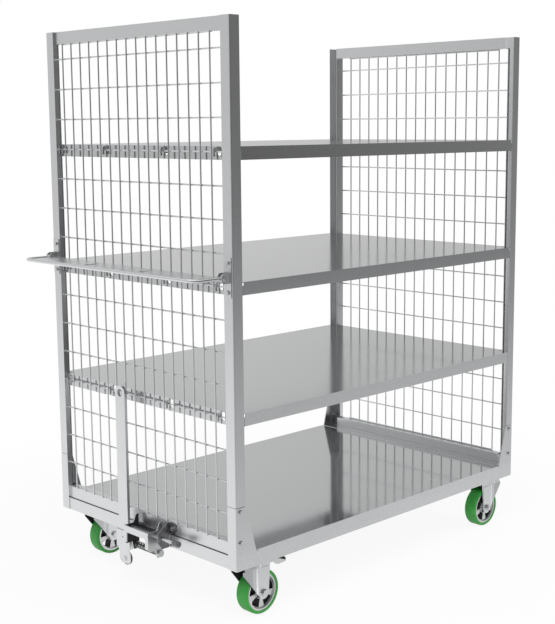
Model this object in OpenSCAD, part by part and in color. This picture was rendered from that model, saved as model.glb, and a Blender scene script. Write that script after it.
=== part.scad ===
// Logistics roll container: a sheet-metal base on four swivel casters, two end
// panels of channel posts with welded wire mesh, three shelves hooked on the
// mesh, a folding tray with a rod rim, and a folding drawbar with its coupling.
// Millimetres, +Z up. The drawbar end is at -X, the long open sides are at -Y
// and +Y. The origin is on the floor, in the middle of the overall outline.

/* [Container] */
// Length over the two end panels
frame_length = 1440; // [1200:10:1800]
// Width over the posts
frame_width = 930; // [830:10:1130]
// Height of the posts' top edge above the floor
panel_top = 1856; // [1756:10:2056]
// Height of the base's underside above the floor
base_clearance = 190; // [186:1:200]

/* [Base] */
// Height of the skirt along the deck's long sides
skirt_h = 52; // [46:1:70]
// Thickness of the deck and skirt sheet
deck_t = 3; // [2:0.5:4]
// Height of the end rails
end_rail_h = 42; // [36:1:46]
// Depth of the end rails' flanges
end_rail_d = 30; // [20:1:34]
// Width of the base's square tubes
tube_w = 40; // [30:1:50]
// Wall of the base's tubes and rails
tube_t = 2.5; // [2:0.5:4]
// Thickness of the pads that the casters bolt to
pad_t = 8; // [6:1:10]

/* [Posts and shoes] */
// Width of a post's web, across the container
post_w = 40; // [36:1:50]
// Depth of a post's outer flange, along the container
post_d = 38; // [34:1:50]
// Depth of a post's inner flange
post_lip = 18; // [14:1:24]
// Sheet thickness of posts and shelves
sheet_t = 2; // [1.5:0.5:3]
// Outer bend radius of folded sheet
bend_r = 4; // [3.5:0.5:5]
// Height of a corner shoe above the base's underside
shoe_h = 200; // [160:1:240]
// Length of a corner shoe along the skirt's top edge
shoe_foot = 82; // [60:1:110]
// Sheet thickness of a corner shoe
shoe_t = 3; // [2.5:0.5:4]
// Distance of the lower shoe bolt above the base's underside
shoe_bolt_low = 88; // [76:1:110]
// Distance between the two bolts of a shoe
shoe_bolt_pitch = 98; // [60:1:100]

/* [Panels and mesh] */
// Height of the panels' top bar and bottom rail
bar_h = 40; // [30:1:50]
// Depth of the panels' top bar and bottom rail
bar_d = 30; // [20:1:30]
// Set-back of the bars from the posts' outer faces
bar_recess = 8; // [6:0.5:10]
// Gap between a bottom rail and the end rail below it
rail_gap = 2; // [1:0.5:4]
// Diameter of the mesh wire
wire_d = 5; // [4:0.5:6]
// Spacing of the upright wires
mesh_pitch_y = 50; // [40:1:60]
// Spacing of the cross wires
mesh_pitch_z = 100; // [80:1:110]
// Height of the lowest cross wire above the bottom rail
mesh_start = 91; // [60:1:100]
// Depth that crossing wires sink into each other at a weld
weld_sink = 0.4; // [0.2:0.1:0.8]

/* [Shelves] */
// Cross wire that the lower shelf hangs on, counted from zero
shelf_first_row = 3; // [2:1:4]
// Cross wires from one shelf to the next
shelf_row_step = 4; // [3:1:4]
// Height of a shelf's surface above the wire that carries it
shelf_over_wire = 16; // [12:1:18]
// Height of the shelves' lips
lip_h = 40; // [30:1:50]
// Depth of the return flange under a lip
lip_return = 14; // [8:1:24]
// Distance of a shelf's end flange from the panel's outer face
shelf_end_gap = 15; // [13.5:0.5:16]
// Distance of the inner pair of hooks from the middle
hook_inner = 150; // [100:50:200]
// Distance of the outer pair of hooks from a post's inner flange
hook_outer_gap = 28; // [22:1:36]
// Reach of the hooks beyond the panel's outer face
hook_out = 2; // [1:0.5:4]
// Width of the window behind a hook
hook_window_w = 16; // [12:1:20]
// Height of the window behind a hook
hook_window_h = 27; // [20:1:30]

/* [Tray] */
// Height of the tray's rod above the floor
tray_height = 1096; // [1080:1:1105]
// Reach of the rod's middle line from the posts
tray_reach = 130; // [100:1:180]
// Diameter of the rod
rod_d = 12; // [10:1:14]
// Bend radius of the rod's middle line
rod_bend = 30; // [24:1:45]
// Distance of the fold axis from the posts
tray_axis = 22; // [20:1:28]
// Diameter of the fold bolts
tray_bolt_d = 8; // [6:1:10]
// Thickness of the tray's plate
tray_t = 2; // [1.5:0.5:3]
// Height of a tray bracket's foot plate
bracket_h = 120; // [110:1:150]
// Distance between the two bolts of a tray bracket
bracket_bolt_pitch = 90; // [80:1:100]
// Length of the slots across the tray's plate
tray_slot_l = 60; // [40:1:70]
// Width of the slots across the tray's plate
tray_slot_w = 20; // [14:1:28]
// Distance of the slots from the middle
tray_slot_y = 140; // [100:1:180]

/* [Casters] */
// Diameter of a wheel over its tread
wheel_d = 145; // [125:1:148]
// Width of the tread
wheel_w = 49; // [40:1:52]
// Outer diameter of the wheel's rim
rim_d = 123; // [110:1:124]
// Radial width of the rim's outer ring
rim_ring = 9; // [6:1:11]
// Diameter of the rim's hub
hub_d = 42; // [36:1:46]
// Number of spokes
spokes = 5; // [4:1:7]
// Set-back of the rim's ring from the tread's side
rim_inset = 2.3; // [1:0.1:4]
// Set-back of the spokes from the tread's side
web_inset = 8; // [5:1:12]
// Distance of the wheel's axle behind the swivel axis
trail = 40; // [35:1:45]
// Distance of the drawbar end's swivel axes from that end
head_inset_tow = 110; // [90:1:140]
// Distance of the far end's swivel axes from that end
head_inset_far = 60; // [58:1:90]
// Distance of the swivel axes from the long sides
head_inset_y = 70; // [60:1:90]
// Length of a caster's top plate
plate_l = 110; // [100:1:114]
// Width of a caster's top plate
plate_w = 90; // [84:1:110]
// Thickness of a caster's top plate
plate_t = 5; // [4:1:7]
// Distance of the plate's bolts from its edges
plate_bolt_edge = 13; // [11:1:16]
// Sheet thickness of a fork
fork_t = 3.5; // [3:0.5:5]
// Gap between the tread's side and the fork's leg
fork_gap = 1.8; // [1.5:0.1:4]
// Diameter of an axle bolt
axle_d = 12; // [10:1:14]
// Diameter of a king pin
king_d = 12; // [10:1:14]
// Diameter of a fork's swivel head
head_d = 92; // [80:1:104]
// Height of the ball race between plate and fork
race_h = 6; // [5:1:8]

/* [Brakes] */
// Distance of a brake lever's axis behind the swivel axis
brake_axis_x = 18; // [17:1:22]
// Distance of a brake lever's axis below the fork's crown
brake_axis_drop = 13; // [12:1:14]
// Diameter of a brake lever's cross pin
brake_pin_d = 8; // [6:1:9]
// Width of a brake lever
brake_w = 36; // [28:1:42]
// Length of a brake lever's flat stretch
brake_l = 98; // [92:1:112]
// Length of a brake lever's bent tread plate
pedal_l = 36; // [28:1:44]
// Downward bend of the tread plate against the lever, in degrees
pedal_bend = 24; // [15:1:35]
// Downward slope of a brake lever at rest, in degrees
lever_slope = -2; // [-4:1:6]

/* [Drawbar and coupling] */
// Distance of the drawbar's middle from the container's middle
drawbar_y = 65; // [60:1:90]
// Width of the drawbar
drawbar_w = 50; // [40:1:56]
// Thickness of the drawbar
drawbar_t = 10; // [8:1:12]
// Height of the drawbar's eye above the fold axis
drawbar_l = 509; // [400:1:560]
// Distance of the drawbar's front face in front of the end panel
drawbar_out = 30; // [30:1:34]
// Diameter of the drawbar's eye
eye_d = 26; // [20:1:30]
// Distance of the fold axis in front of the end panel
pivot_out = 13; // [12:1:14]
// Distance of the fold axis below the base
pivot_drop = 25; // [24:1:30]
// Diameter of the fold shaft
shaft_d = 12; // [10:1:12]
// Width of the drawbar's foot
foot_w = 70; // [62:1:80]
// Sheet thickness of the drawbar's foot and of the coupling
hitch_t = 4; // [3:0.5:5]
// Distance of the guide roller below the fold axis
roller_drop = 59; // [56:1:66]
// Diameter of the guide roller
roller_d = 46; // [40:1:50]
// Width of the guide roller
roller_w = 12; // [10:1:16]
// Diameter of the guide roller's pin
roller_pin_d = 10; // [8:1:12]
// Width of the coupling housing
housing_w = 128; // [110:1:150]
// Reach of the coupling housing in front of the end panel
housing_reach = 62; // [54:1:70]
// Height of the coupling housing's front edge above the base's underside
housing_top = 52; // [46:1:60]
// Diameter of the locking pin
lock_d = 12; // [10:1:14]
// Height of the locking pin above the base's underside
lock_z = 36; // [30:1:40]
// Distance of the locking pin in front of the end panel
lock_out = 30; // [26:1:34]
// Diameter of the locking pin's knob
knob_d = 20; // [18:1:24]
// Length of the locking pin's knob
knob_l = 34; // [24:1:40]
// Outward travel of the locking pin
lock_travel = 20; // [10:1:24]
// Number of turns of the lift spring
spring_turns = 9; // [6:1:10]
// Wire diameter of the lift spring
spring_wire = 4; // [3:0.5:5]

/* [Fits] */
// Clearance of a bolt in its hole, on the diameter
bolt_play = 0.6; // [0.3:0.1:1]
// Clearance of a turning pin in its bore, on the diameter
turn_play = 0.1; // [0.06:0.02:0.16]
// Clearance between a part that moves and its neighbour
free_gap = 0.5; // [0.4:0.1:0.8]

/* [Hidden] */
$fn = 48;
eps = 0.01;
half_l = frame_length / 2;
half_w = frame_width / 2;
frame_shift = (tray_reach + rod_d / 2 - hook_out) / 2;

// Levels of the base, from the floor up
base_z = base_clearance;
deck_top = base_z + skirt_h;
end_rail_top = base_z + end_rail_h;
tube_z = base_z + pad_t;
tube_h = skirt_h - deck_t - pad_t;
shoe_top = base_z + shoe_h;
bottom_rail_z = end_rail_top + rail_gap;
bottom_rail_top = bottom_rail_z + bar_h;
top_bar_z = panel_top - bar_h;
shoe_bolt_levels = [base_z + shoe_bolt_low, base_z + shoe_bolt_low + shoe_bolt_pitch];

// Widths between the posts
inner_half = half_w - post_w;
post_mid = half_w - post_w / 2;
panel_back = bar_recess + bar_d;
deck_start = panel_back + 1;
shoe_bolt_x = post_d / 2;

// Mesh
wire_r = wire_d / 2;
upright_x = wire_r + 0.5;
cross_x = upright_x + wire_d - weld_sink;
columns_half = floor((inner_half - mesh_pitch_y / 2 - wire_d) / mesh_pitch_y);
column_end = mesh_pitch_y / 2 + columns_half * mesh_pitch_y;
row_first = bottom_rail_top + mesh_start;
row_count = floor((top_bar_z - 2 * wire_d - row_first) / mesh_pitch_z);

// Shelves
shelf_inner_half = inner_half - 1.5;
shelf_full_x = post_d + 2;
hook_outer = inner_half - hook_outer_gap;
hook_drop = 14;

// Bolts: width over flats and height of a head, by shank diameter
function bolt_flats(d) = 1.6 * d + 0.4;
function bolt_head(d) = 0.66 * d;
bolt_tip = 3;
frame_bolt_d = 8;

// Tray
rod_r = rod_d / 2;
tray_leg_y = post_mid;
clevis_gap = rod_d + 4;
clevis_t = 3;
clevis_reach = tray_axis + rod_d;
tray_rear = 14;
seam = 0.3;
rod_step = 0.04;
tray_eye_d = rod_d + 6;

// Casters
axle_z = wheel_d / 2;
rim_r = rim_d / 2;
bearing_d = axle_d + 9;
bearing_l = 11;
hub_l = wheel_w - 1;
plate_z = base_z - plate_t;
race_z = plate_z - race_h;
crown_t = 12;
crown_top = race_z - free_gap;
crown_z = crown_top - crown_t;
leg_in = wheel_w / 2 + fork_gap;
leg_out = leg_in + fork_t;
emboss_t = 1.5;
axle_seat = leg_out + emboss_t;
leg_r = 22;
fold_x = trail - 26;
leg_rear = trail + leg_r + 6;
window_ledge = 1;
brake_z = crown_z - brake_axis_drop;
brake_t = 4;
brake_sleeve_d = brake_pin_d + 5;
lever_rise = brake_sleeve_d / 2 - brake_t - 1;
pad_rise = 9;

// Drawbar and coupling
pivot_z = base_z - pivot_drop;
foot_top = 40;
foot_low = 20;
roller_x = -pivot_out - 11;
roller_z = pivot_z - roller_drop;
roller_tab_w = foot_w - 14;
roller_tab_low = 16;
roller_gap = free_gap;
housing_right = drawbar_y - foot_w / 2 - 9;
housing_left = housing_right - housing_w;
end_face = shoe_t;
guide_gap = 28;
guide_y = housing_left - guide_gap;
guide_tab = 30;
lock_tip = drawbar_y - foot_w / 2 - free_gap;
pin_neck = 36;
knob_y = guide_y - hitch_t - lock_travel - pin_neck;
spring_r = shaft_d / 2 + 2 + spring_wire / 2;
coil_steps = 16;

// Places. The drawbar end's own frame starts at the panel's outer face, with x
// running into the container, and the far end is its mirror image.
module tow_end() { translate([frame_shift - half_l, 0, 0]) children(); }
module far_end() { translate([frame_shift + half_l, 0, 0]) mirror([1, 0, 0]) children(); }
module on_back() { mirror([0, 1, 0]) children(); }
module both_ends() { tow_end() children(); far_end() children(); }
module both_sides() { children(); on_back() children(); }

// A profile drawn in x and z, given a thickness along +y
module upright_plate(t) { translate([0, t, 0]) rotate([90, 0, 0]) linear_extrude(t) children(); }
// A cylinder along +y or +x
module rod_y(d, l) { rotate([-90, 0, 0]) cylinder(d = d, h = l); }
module rod_x(d, l) { rotate([0, 90, 0]) cylinder(d = d, h = l); }
module hexagon(flats, h) { cylinder(d = flats / cos(30), h = h, $fn = 6); }
// A rounded convex corner, as the waste that is cut off it
module corner_waste(r) {
    difference() {
        translate([-1, -1]) square(r + 1);
        translate([r, r]) circle(r);
    }
}
// A hexagon bolt along +z: the head below zero, the nut above the grip
module bolt(d, grip) {
    translate([0, 0, -bolt_head(d)]) hexagon(bolt_flats(d), bolt_head(d));
    cylinder(d = d, h = grip + bolt_head(d) + bolt_tip);
    translate([0, 0, grip]) hexagon(bolt_flats(d), bolt_head(d));
}
// A square tube along y, open at both ends
module bar_tube(w, h, l, t) {
    difference() {
        translate([0, -l / 2, 0]) cube([w, l, h]);
        translate([t, -l / 2 - 1, t]) cube([w - 2 * t, l + 2, h - 2 * t]);
    }
}

// Base

module end_rail() {
    translate([end_face, -half_w + shoe_t, base_z]) difference() {
        cube([end_rail_d, frame_width - 2 * shoe_t, end_rail_h]);
        translate([tube_t, -1, tube_t])
            cube([end_rail_d, frame_width + 2, end_rail_h - 2 * tube_t]);
    }
}

module side_tube() {
    start = end_face + end_rail_d;
    l = frame_length - 2 * start;
    translate([frame_shift - l / 2, -half_w + deck_t, tube_z]) difference() {
        cube([l, tube_w, tube_h]);
        translate([-1, tube_t, tube_t]) cube([l + 2, tube_w - 2 * tube_t, tube_h - 2 * tube_t]);
    }
}

module cross_tube() {
    translate([0, 0, tube_z])
        bar_tube(tube_w, tube_h, frame_width - 2 * (deck_t + tube_w), tube_t);
}

module plate_bolt_places() {
    for (sx = [-1, 1], sy = [-1, 1])
        translate([sx * (plate_l / 2 - plate_bolt_edge), sy * (plate_w / 2 - plate_bolt_edge), 0])
            children();
}

module caster_pad() {
    difference() {
        translate([-plate_l / 2, -plate_w / 2, base_z]) cube([plate_l, plate_w, pad_t]);
        plate_bolt_places() translate([0, 0, base_z - 1])
            cylinder(d = frame_bolt_d + bolt_play, h = pad_t + 2);
    }
}

// The four caster places: at the far end the frame is a half turn round, so
// that every caster is drawn trailing along +x.
module caster_tow(side) {
    translate([frame_shift - half_l + head_inset_tow, side * (half_w - head_inset_y), 0]) children();
}
module caster_far(side) {
    translate([frame_shift + half_l - head_inset_far, side * (half_w - head_inset_y), 0])
        rotate([0, 0, 180]) children();
}
module each_caster() {
    for (side = [-1, 1]) {
        caster_tow(side) children();
        caster_far(side) children();
    }
}

module base_frame() {
    nut_room = bolt_flats(frame_bolt_d) + 6;
    color("gainsboro") difference() {
        union() {
            both_ends() end_rail();
            both_sides() side_tube();
            tow_end() translate([head_inset_tow + plate_l / 2 - tube_w / 2, 0, 0]) cross_tube();
            far_end() translate([head_inset_far + plate_l / 2 - tube_w / 2, 0, 0]) cross_tube();
            translate([frame_shift - tube_w / 2, 0, 0]) cross_tube();
            each_caster() caster_pad();
        }
        // The side tubes' ends step down to the end rails, clear of the posts and the bottom rails
        both_ends() translate([0, -half_w, end_rail_top])
            cube([max(panel_back, post_d) + free_gap, frame_width, tube_h]);
        // Room for the caster nuts, and their holes through the end rails' flanges
        each_caster() plate_bolt_places() {
            translate([0, 0, base_z + pad_t]) cylinder(d = nut_room, h = tube_h - tube_t);
            translate([0, 0, base_z - 1]) cylinder(d = frame_bolt_d + bolt_play, h = pad_t + 2);
        }
        // Holes for the coupling's bolts
        tow_end() housing_bolt_places() translate([-1, 0, 0]) rod_x(frame_bolt_d + bolt_play, tube_t + 2);
    }
}

module deck_plate() {
    l = frame_length - 2 * deck_start;
    skirt_l = frame_length - 2 * shoe_t;
    relief_d = 9;
    color("lightgray") translate([frame_shift, 0, 0]) difference() {
        union() {
            translate([-l / 2, -half_w, deck_top - deck_t]) cube([l, frame_width, deck_t]);
            for (side = [-1, 1])
                translate([-skirt_l / 2, side * (half_w - deck_t / 2) - deck_t / 2, base_z])
                    cube([skirt_l, deck_t, skirt_h]);
        }
        // Bend reliefs beside the shoes
        for (end = [-1, 1])
            translate([end * (half_l - shoe_foot - relief_d / 2), -half_w - 1, deck_top])
                rod_y(relief_d, frame_width + 2);
    }
}

module shoe_plan() {
    difference() {
        translate([0, -half_w]) square([shoe_foot, post_w]);
        translate([shoe_t, -half_w + shoe_t]) square([shoe_foot, post_w]);
        translate([0, -half_w]) corner_waste(bend_r);
    }
}

module corner_shoe() {
    shoe_ear = post_d + 4;
    difference() {
        translate([0, 0, base_z]) linear_extrude(shoe_h) shoe_plan();
        // Slanting edge of the side plate
        translate([0, -half_w - 1, 0]) upright_plate(shoe_t + 1 + eps)
            polygon([[shoe_foot, deck_top], [shoe_ear, shoe_top], [shoe_ear, shoe_top + 1],
                [shoe_foot + 1, shoe_top + 1], [shoe_foot + 1, deck_top]]);
        // The skirt's place
        translate([shoe_t, -half_w - 1, base_z - 1]) cube([shoe_foot, post_w, skirt_h + 1]);
        for (z = shoe_bolt_levels) translate([shoe_bolt_x, -half_w - 1, z])
            rod_y(frame_bolt_d + bolt_play, shoe_t + 2);
    }
}

module corner_shoes() { color("gainsboro") both_ends() both_sides() corner_shoe(); }

module shoe_bolts() {
    color("silver") both_ends() both_sides() for (z = shoe_bolt_levels)
        translate([shoe_bolt_x, -half_w, z]) rotate([-90, 0, 0]) bolt(frame_bolt_d, shoe_t + sheet_t);
}

// Posts, bars and mesh

module post_plan(inset, wall) {
    difference() {
        union() {
            translate([inset, -half_w + inset]) square([wall, post_w - inset]);
            translate([inset, -half_w + inset]) square([post_d - inset, wall]);
            translate([inset, -half_w + post_w - sheet_t]) square([post_lip - inset, sheet_t]);
        }
        translate([inset, -half_w + inset]) corner_waste(bend_r);
    }
}

module post(tray_holes) {
    joggle_h = 3;
    open_joint = 2.5;
    outer_z = shoe_top + open_joint;
    color("gainsboro") difference() {
        union() {
            translate([0, 0, outer_z]) linear_extrude(panel_top - outer_z) post_plan(0, sheet_t);
            // The joggle that steps the post's foot in behind the shoe, an open joint above the shoe's top
            translate([0, 0, outer_z]) linear_extrude(joggle_h) post_plan(0, shoe_t + sheet_t);
            translate([0, 0, end_rail_top]) linear_extrude(outer_z - end_rail_top + eps)
                post_plan(shoe_t, sheet_t);
        }
        for (z = shoe_bolt_levels) translate([shoe_bolt_x, -half_w - 1, z])
            rod_y(frame_bolt_d + bolt_play, shoe_t + sheet_t + 2);
        if (tray_holes) tray_bolt_places() translate([-1, 0, 0])
            rod_x(frame_bolt_d + bolt_play, sheet_t + 2);
    }
}

module post_tow_front() { tow_end() post(true); }
module post_tow_back() { tow_end() on_back() post(true); }
module post_far_front() { far_end() post(false); }
module post_far_back() { far_end() on_back() post(false); }

module panel_bar(z) {
    color("gainsboro") translate([bar_recess, 0, z])
        bar_tube(bar_d, bar_h, 2 * inner_half, sheet_t);
}

module top_bar_tow() { tow_end() panel_bar(top_bar_z); }
module top_bar_far() { far_end() panel_bar(top_bar_z); }
module bottom_rail_tow() {
    tow_end() difference() {
        panel_bar(bottom_rail_z);
        guide_bolt_place() translate([-1, 0, 0]) rod_x(frame_bolt_d + bolt_play, sheet_t + 2);
    }
}
module bottom_rail_far() { far_end() panel_bar(bottom_rail_z); }

module cross_wire(z, l) { translate([cross_x, -l / 2, z]) rod_y(wire_d, l); }

module wire_mesh() {
    border = 2 * column_end + wire_d;
    color("silver") {
        for (row = [0 : row_count]) cross_wire(row_first + row * mesh_pitch_z, 2 * inner_half);
        cross_wire(bottom_rail_top + wire_r, border);
        cross_wire(top_bar_z - wire_r, border);
        for (side = [-1, 1], column = [0 : columns_half])
            translate([upright_x, side * (mesh_pitch_y / 2 + column * mesh_pitch_y), bottom_rail_top])
                cylinder(d = wire_d, h = top_bar_z - bottom_rail_top);
    }
}

module mesh_tow() { tow_end() wire_mesh(); }
module mesh_far() { far_end() wire_mesh(); }

// Shelves

module shelf_plan() {
    l = frame_length - 2 * shelf_full_x;
    inner_l = frame_length - 2 * shelf_end_gap;
    translate([-l / 2, -half_w]) square([l, frame_width]);
    translate([-inner_l / 2, -shelf_inner_half]) square([inner_l, 2 * shelf_inner_half]);
}

// A lip with its return flange, and a corner relief at each end
module shelf_lip() {
    l = frame_length - 2 * shelf_full_x;
    relief_d = 10;
    chamfer = 5;
    difference() {
        union() {
            translate([-l / 2, -half_w, -lip_h]) cube([l, sheet_t, lip_h]);
            translate([-l / 2, -half_w, -lip_h]) cube([l, lip_return, sheet_t]);
        }
        for (end = [-1, 1]) {
            translate([end * l / 2, -half_w - 1, -sheet_t - relief_d / 2]) rod_y(relief_d, sheet_t + 2);
            translate([end * l / 2, -half_w - 1, 0]) rotate([0, 45, 0])
                translate([-chamfer / 2, 0, -chamfer / 2]) cube([chamfer, sheet_t + 2, chamfer]);
        }
    }
}

// The outline of a window behind a hook: square above, half round below
module hook_window() {
    r = hook_window_w / 2;
    translate([0, 0, -sheet_t - hook_window_h]) {
        translate([0, 0, r]) rod_x(hook_window_w, 2 * sheet_t);
        translate([0, -r, r]) cube([2 * sheet_t, hook_window_w, hook_window_h - r]);
    }
}

// A tongue folded out of the end flange, with a slot that sits on the cross wire
module shelf_hook() {
    slot_r = wire_r + 0.1;
    upright_plate(sheet_t) difference() {
        polygon([[-hook_out, -shelf_over_wire - hook_drop], [-hook_out, -shelf_over_wire + 5],
            [1, -sheet_t - 2], [shelf_end_gap + sheet_t, -sheet_t - 2],
            [shelf_end_gap + sheet_t, -sheet_t - hook_window_h], [cross_x + wire_d, -sheet_t - hook_window_h],
            [cross_x + slot_r + 1, -shelf_over_wire - hook_drop]]);
        translate([cross_x, -shelf_over_wire]) circle(slot_r);
        translate([cross_x - slot_r, -lip_h]) square([2 * slot_r, lip_h - shelf_over_wire]);
    }
}

module shelf_end() {
    places = [-hook_outer, -hook_inner, hook_inner, hook_outer];
    difference() {
        translate([shelf_end_gap, -shelf_inner_half, -lip_h])
            cube([sheet_t, 2 * shelf_inner_half, lip_h]);
        for (y = places) translate([shelf_end_gap - sheet_t / 2, y, 0]) hook_window();
    }
    for (y = places) translate([0, y + hook_window_w / 2 - eps, 0]) shelf_hook();
}

module shelf(step) {
    top = row_first + (shelf_first_row + step * shelf_row_step) * mesh_pitch_z + shelf_over_wire;
    color("lightgray") translate([frame_shift, 0, top]) {
        translate([0, 0, -sheet_t]) linear_extrude(sheet_t) shelf_plan();
        both_sides() shelf_lip();
        translate([-half_l, 0, 0]) shelf_end();
        translate([half_l, 0, 0]) mirror([1, 0, 0]) shelf_end();
    }
}

module shelf_lower() { shelf(0); }
module shelf_middle() { shelf(1); }
module shelf_upper() { shelf(2); }

// Tray

module tray_bolt_places() {
    for (s = [-1, 1]) translate([0, -post_mid, tray_height + s * bracket_bolt_pitch / 2]) children();
}

// A foot plate with two cheeks and a stop bridge under the rod
module tray_bracket() {
    foot_w_y = clevis_gap + 2 * clevis_t + 8;
    cheek_h = 32;
    stop_z = -rod_r - free_gap - clevis_t;
    stop_l = 4;
    translate([0, -tray_leg_y, tray_height]) difference() {
        union() {
            translate([-clevis_t, -foot_w_y / 2, -bracket_h / 2]) cube([clevis_t, foot_w_y, bracket_h]);
            for (s = [-1, 1]) translate([0, s * (clevis_gap + clevis_t) / 2 - clevis_t / 2, 0])
                upright_plate(clevis_t) union() {
                    translate([-tray_axis, -cheek_h / 2]) square([tray_axis, cheek_h]);
                    translate([-tray_axis, 0]) circle(d = cheek_h);
                }
            translate([-clevis_reach, -clevis_gap / 2 - eps, stop_z])
                cube([stop_l, clevis_gap + 2 * eps, clevis_t]);
        }
        translate([-tray_axis, -foot_w_y, 0]) rod_y(tray_bolt_d + bolt_play, 2 * foot_w_y);
        for (s = [-1, 1]) translate([-clevis_t - 1, 0, s * bracket_bolt_pitch / 2])
            rod_x(frame_bolt_d + bolt_play, clevis_t + 2);
    }
}

module tray_brackets() { color("silver") tow_end() both_sides() tray_bracket(); }

module tray_bracket_bolts() {
    color("silver") tow_end() both_sides() tray_bolt_places()
        translate([-clevis_t, 0, 0]) rotate([0, 90, 0]) bolt(frame_bolt_d, clevis_t + sheet_t);
}

module tray_fold_bolts() {
    grip = clevis_gap + 2 * clevis_t;
    color("silver") tow_end() both_sides()
        translate([-tray_axis, -tray_leg_y - grip / 2, tray_height]) rotate([-90, 0, 0])
            bolt(tray_bolt_d, grip);
}

module rod_leg() {
    leg = tray_reach - rod_bend - tray_axis;
    difference() {
        union() {
            translate([-tray_axis - leg - seam, -tray_leg_y, 0]) rod_x(rod_d - rod_step, leg + seam);
            translate([-tray_axis, -tray_leg_y - rod_r, 0]) rod_y(tray_eye_d, rod_d);
            translate([-tray_axis - leg, -tray_leg_y + rod_bend, 0]) rotate([0, 0, 180])
                rotate_extrude(angle = 90) translate([rod_bend, 0]) circle(rod_r);
        }
        translate([-tray_axis, -tray_leg_y - rod_d, 0]) rod_y(tray_bolt_d + turn_play, 2 * rod_d);
    }
}

module tray_rod() {
    front = 2 * (tray_leg_y - rod_bend);
    color("whitesmoke") tow_end() translate([0, 0, tray_height]) {
        both_sides() rod_leg();
        translate([-tray_reach, -front / 2 - seam, 0]) rod_y(rod_d - rod_step, front + 2 * seam);
    }
}

module tray_plate() {
    front_x = tray_reach - rod_r;
    side_y = tray_leg_y - rod_r;
    corner = rod_bend;
    cheek_y = tray_leg_y - clevis_gap / 2 - clevis_t - bolt_head(tray_bolt_d) - bolt_tip - 2;
    cheek_x = clevis_reach + 4;
    slot_mid = (tray_rear + front_x) / 2;
    color("lightgray") tow_end() translate([0, 0, tray_height - tray_t / 2]) linear_extrude(tray_t)
        difference() {
            translate([-front_x, -side_y]) square([front_x - tray_rear, 2 * side_y]);
            for (s = [-1, 1]) {
                // Corners cut clear of the rod's bends and of the brackets
                translate([-front_x, s * side_y]) rotate([0, 0, 45]) square(corner, center = true);
                translate([-cheek_x, s * (cheek_y + side_y / 2) - side_y / 2]) square([cheek_x, side_y]);
                translate([-slot_mid, s * tray_slot_y])
                    square([tray_slot_l - tray_slot_w, tray_slot_w], center = true);
                for (e = [-1, 1])
                    translate([-slot_mid + e * (tray_slot_l - tray_slot_w) / 2, s * tray_slot_y])
                        circle(d = tray_slot_w);
            }
        }
}

// Casters, drawn round the swivel axis and trailing along +x

module caster_plate() {
    difference() {
        union() {
            translate([-plate_l / 2, -plate_w / 2, plate_z]) cube([plate_l, plate_w, plate_t]);
            translate([0, 0, race_z]) cylinder(d = head_d - 14, h = race_h + eps);
        }
        plate_bolt_places() translate([0, 0, plate_z - 1])
            cylinder(d = frame_bolt_d + bolt_play, h = plate_t + 2);
        translate([0, 0, race_z - 1]) cylinder(d = king_d, h = race_h + plate_t + 2);
    }
}

module caster_plates() { color("silver") each_caster() caster_plate(); }

module caster_bolts() {
    color("silver") each_caster() plate_bolt_places() translate([0, 0, plate_z])
        bolt(frame_bolt_d, plate_t + pad_t);
}

module king_pins() {
    nut_h = bolt_head(king_d);
    color("silver") each_caster() {
        translate([0, 0, crown_z - free_gap - nut_h]) hexagon(bolt_flats(king_d), nut_h);
        translate([0, 0, crown_z - free_gap]) cylinder(d = king_d, h = base_z - crown_z + free_gap);
    }
}

// Outline of a fork's leg, seen from the side
module leg_outline() {
    head_r = head_d / 2;
    polygon([[-head_r, crown_z + fork_t], [-head_r, crown_z - 18], [trail - leg_r, axle_z - 6],
        [trail + leg_r, axle_z - 2], [leg_rear, crown_z - 6], [leg_rear, crown_z + fork_t]]);
    translate([trail, axle_z]) circle(leg_r);
}

// The raised panel on a leg, from the fold line to the rear edge
module leg_panel() {
    inset = 3;
    polygon([[fold_x, crown_z - 6], [fold_x, axle_z - 3], [trail + leg_r - inset, axle_z],
        [leg_rear - inset, crown_z - 10]]);
    translate([trail, axle_z]) circle(leg_r - inset);
}

module fork(brake) {
    crown_rear = leg_rear + head_d / 2;
    color("silver") difference() {
        union() {
            translate([0, 0, crown_z]) cylinder(d = head_d, h = crown_t);
            translate([-head_d / 2, -leg_out, crown_z]) cube([crown_rear, 2 * leg_out, fork_t]);
            for (s = [-1, 1]) {
                translate([0, s * (leg_in + fork_t / 2) - fork_t / 2, 0]) upright_plate(fork_t) leg_outline();
                translate([0, s * (leg_out + emboss_t / 2) - emboss_t / 2 - eps, 0])
                    upright_plate(emboss_t + 2 * eps) leg_panel();
            }
        }
        // The crown's front corners follow the swivel head
        for (s = [-1, 1]) translate([-head_d / 2, s * leg_out, crown_z - 1]) rotate([0, 0, 45])
            cube([14, 14, 3 * fork_t], center = true);
        translate([0, 0, crown_z - 1]) cylinder(d = king_d + turn_play, h = crown_t + 2);
        translate([trail, -axle_seat - 1, axle_z]) rod_y(axle_d, 2 * axle_seat + 2);
        if (brake) translate([brake_axis_x, -axle_seat - 1, brake_z])
            rod_y(brake_pin_d + turn_play, 2 * axle_seat + 2);
    }
}

module axle() {
    color("silver") translate([trail, -axle_seat, axle_z]) rotate([-90, 0, 0]) bolt(axle_d, 2 * axle_seat);
}

// One window between two spokes
module spoke_window() {
    spread = 360 / spokes;
    open = spread * 0.64;
    outer = rim_r - rim_ring - window_ledge;
    far_x = 2 * outer * cos(open / 2);
    far_y = 2 * outer * sin(open / 2);
    difference() {
        intersection() {
            circle(outer);
            polygon([[0, 0], [far_x, -far_y], [far_x, far_y]]);
        }
        circle(d = hub_d + 4 + 2 * window_ledge);
    }
}

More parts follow.
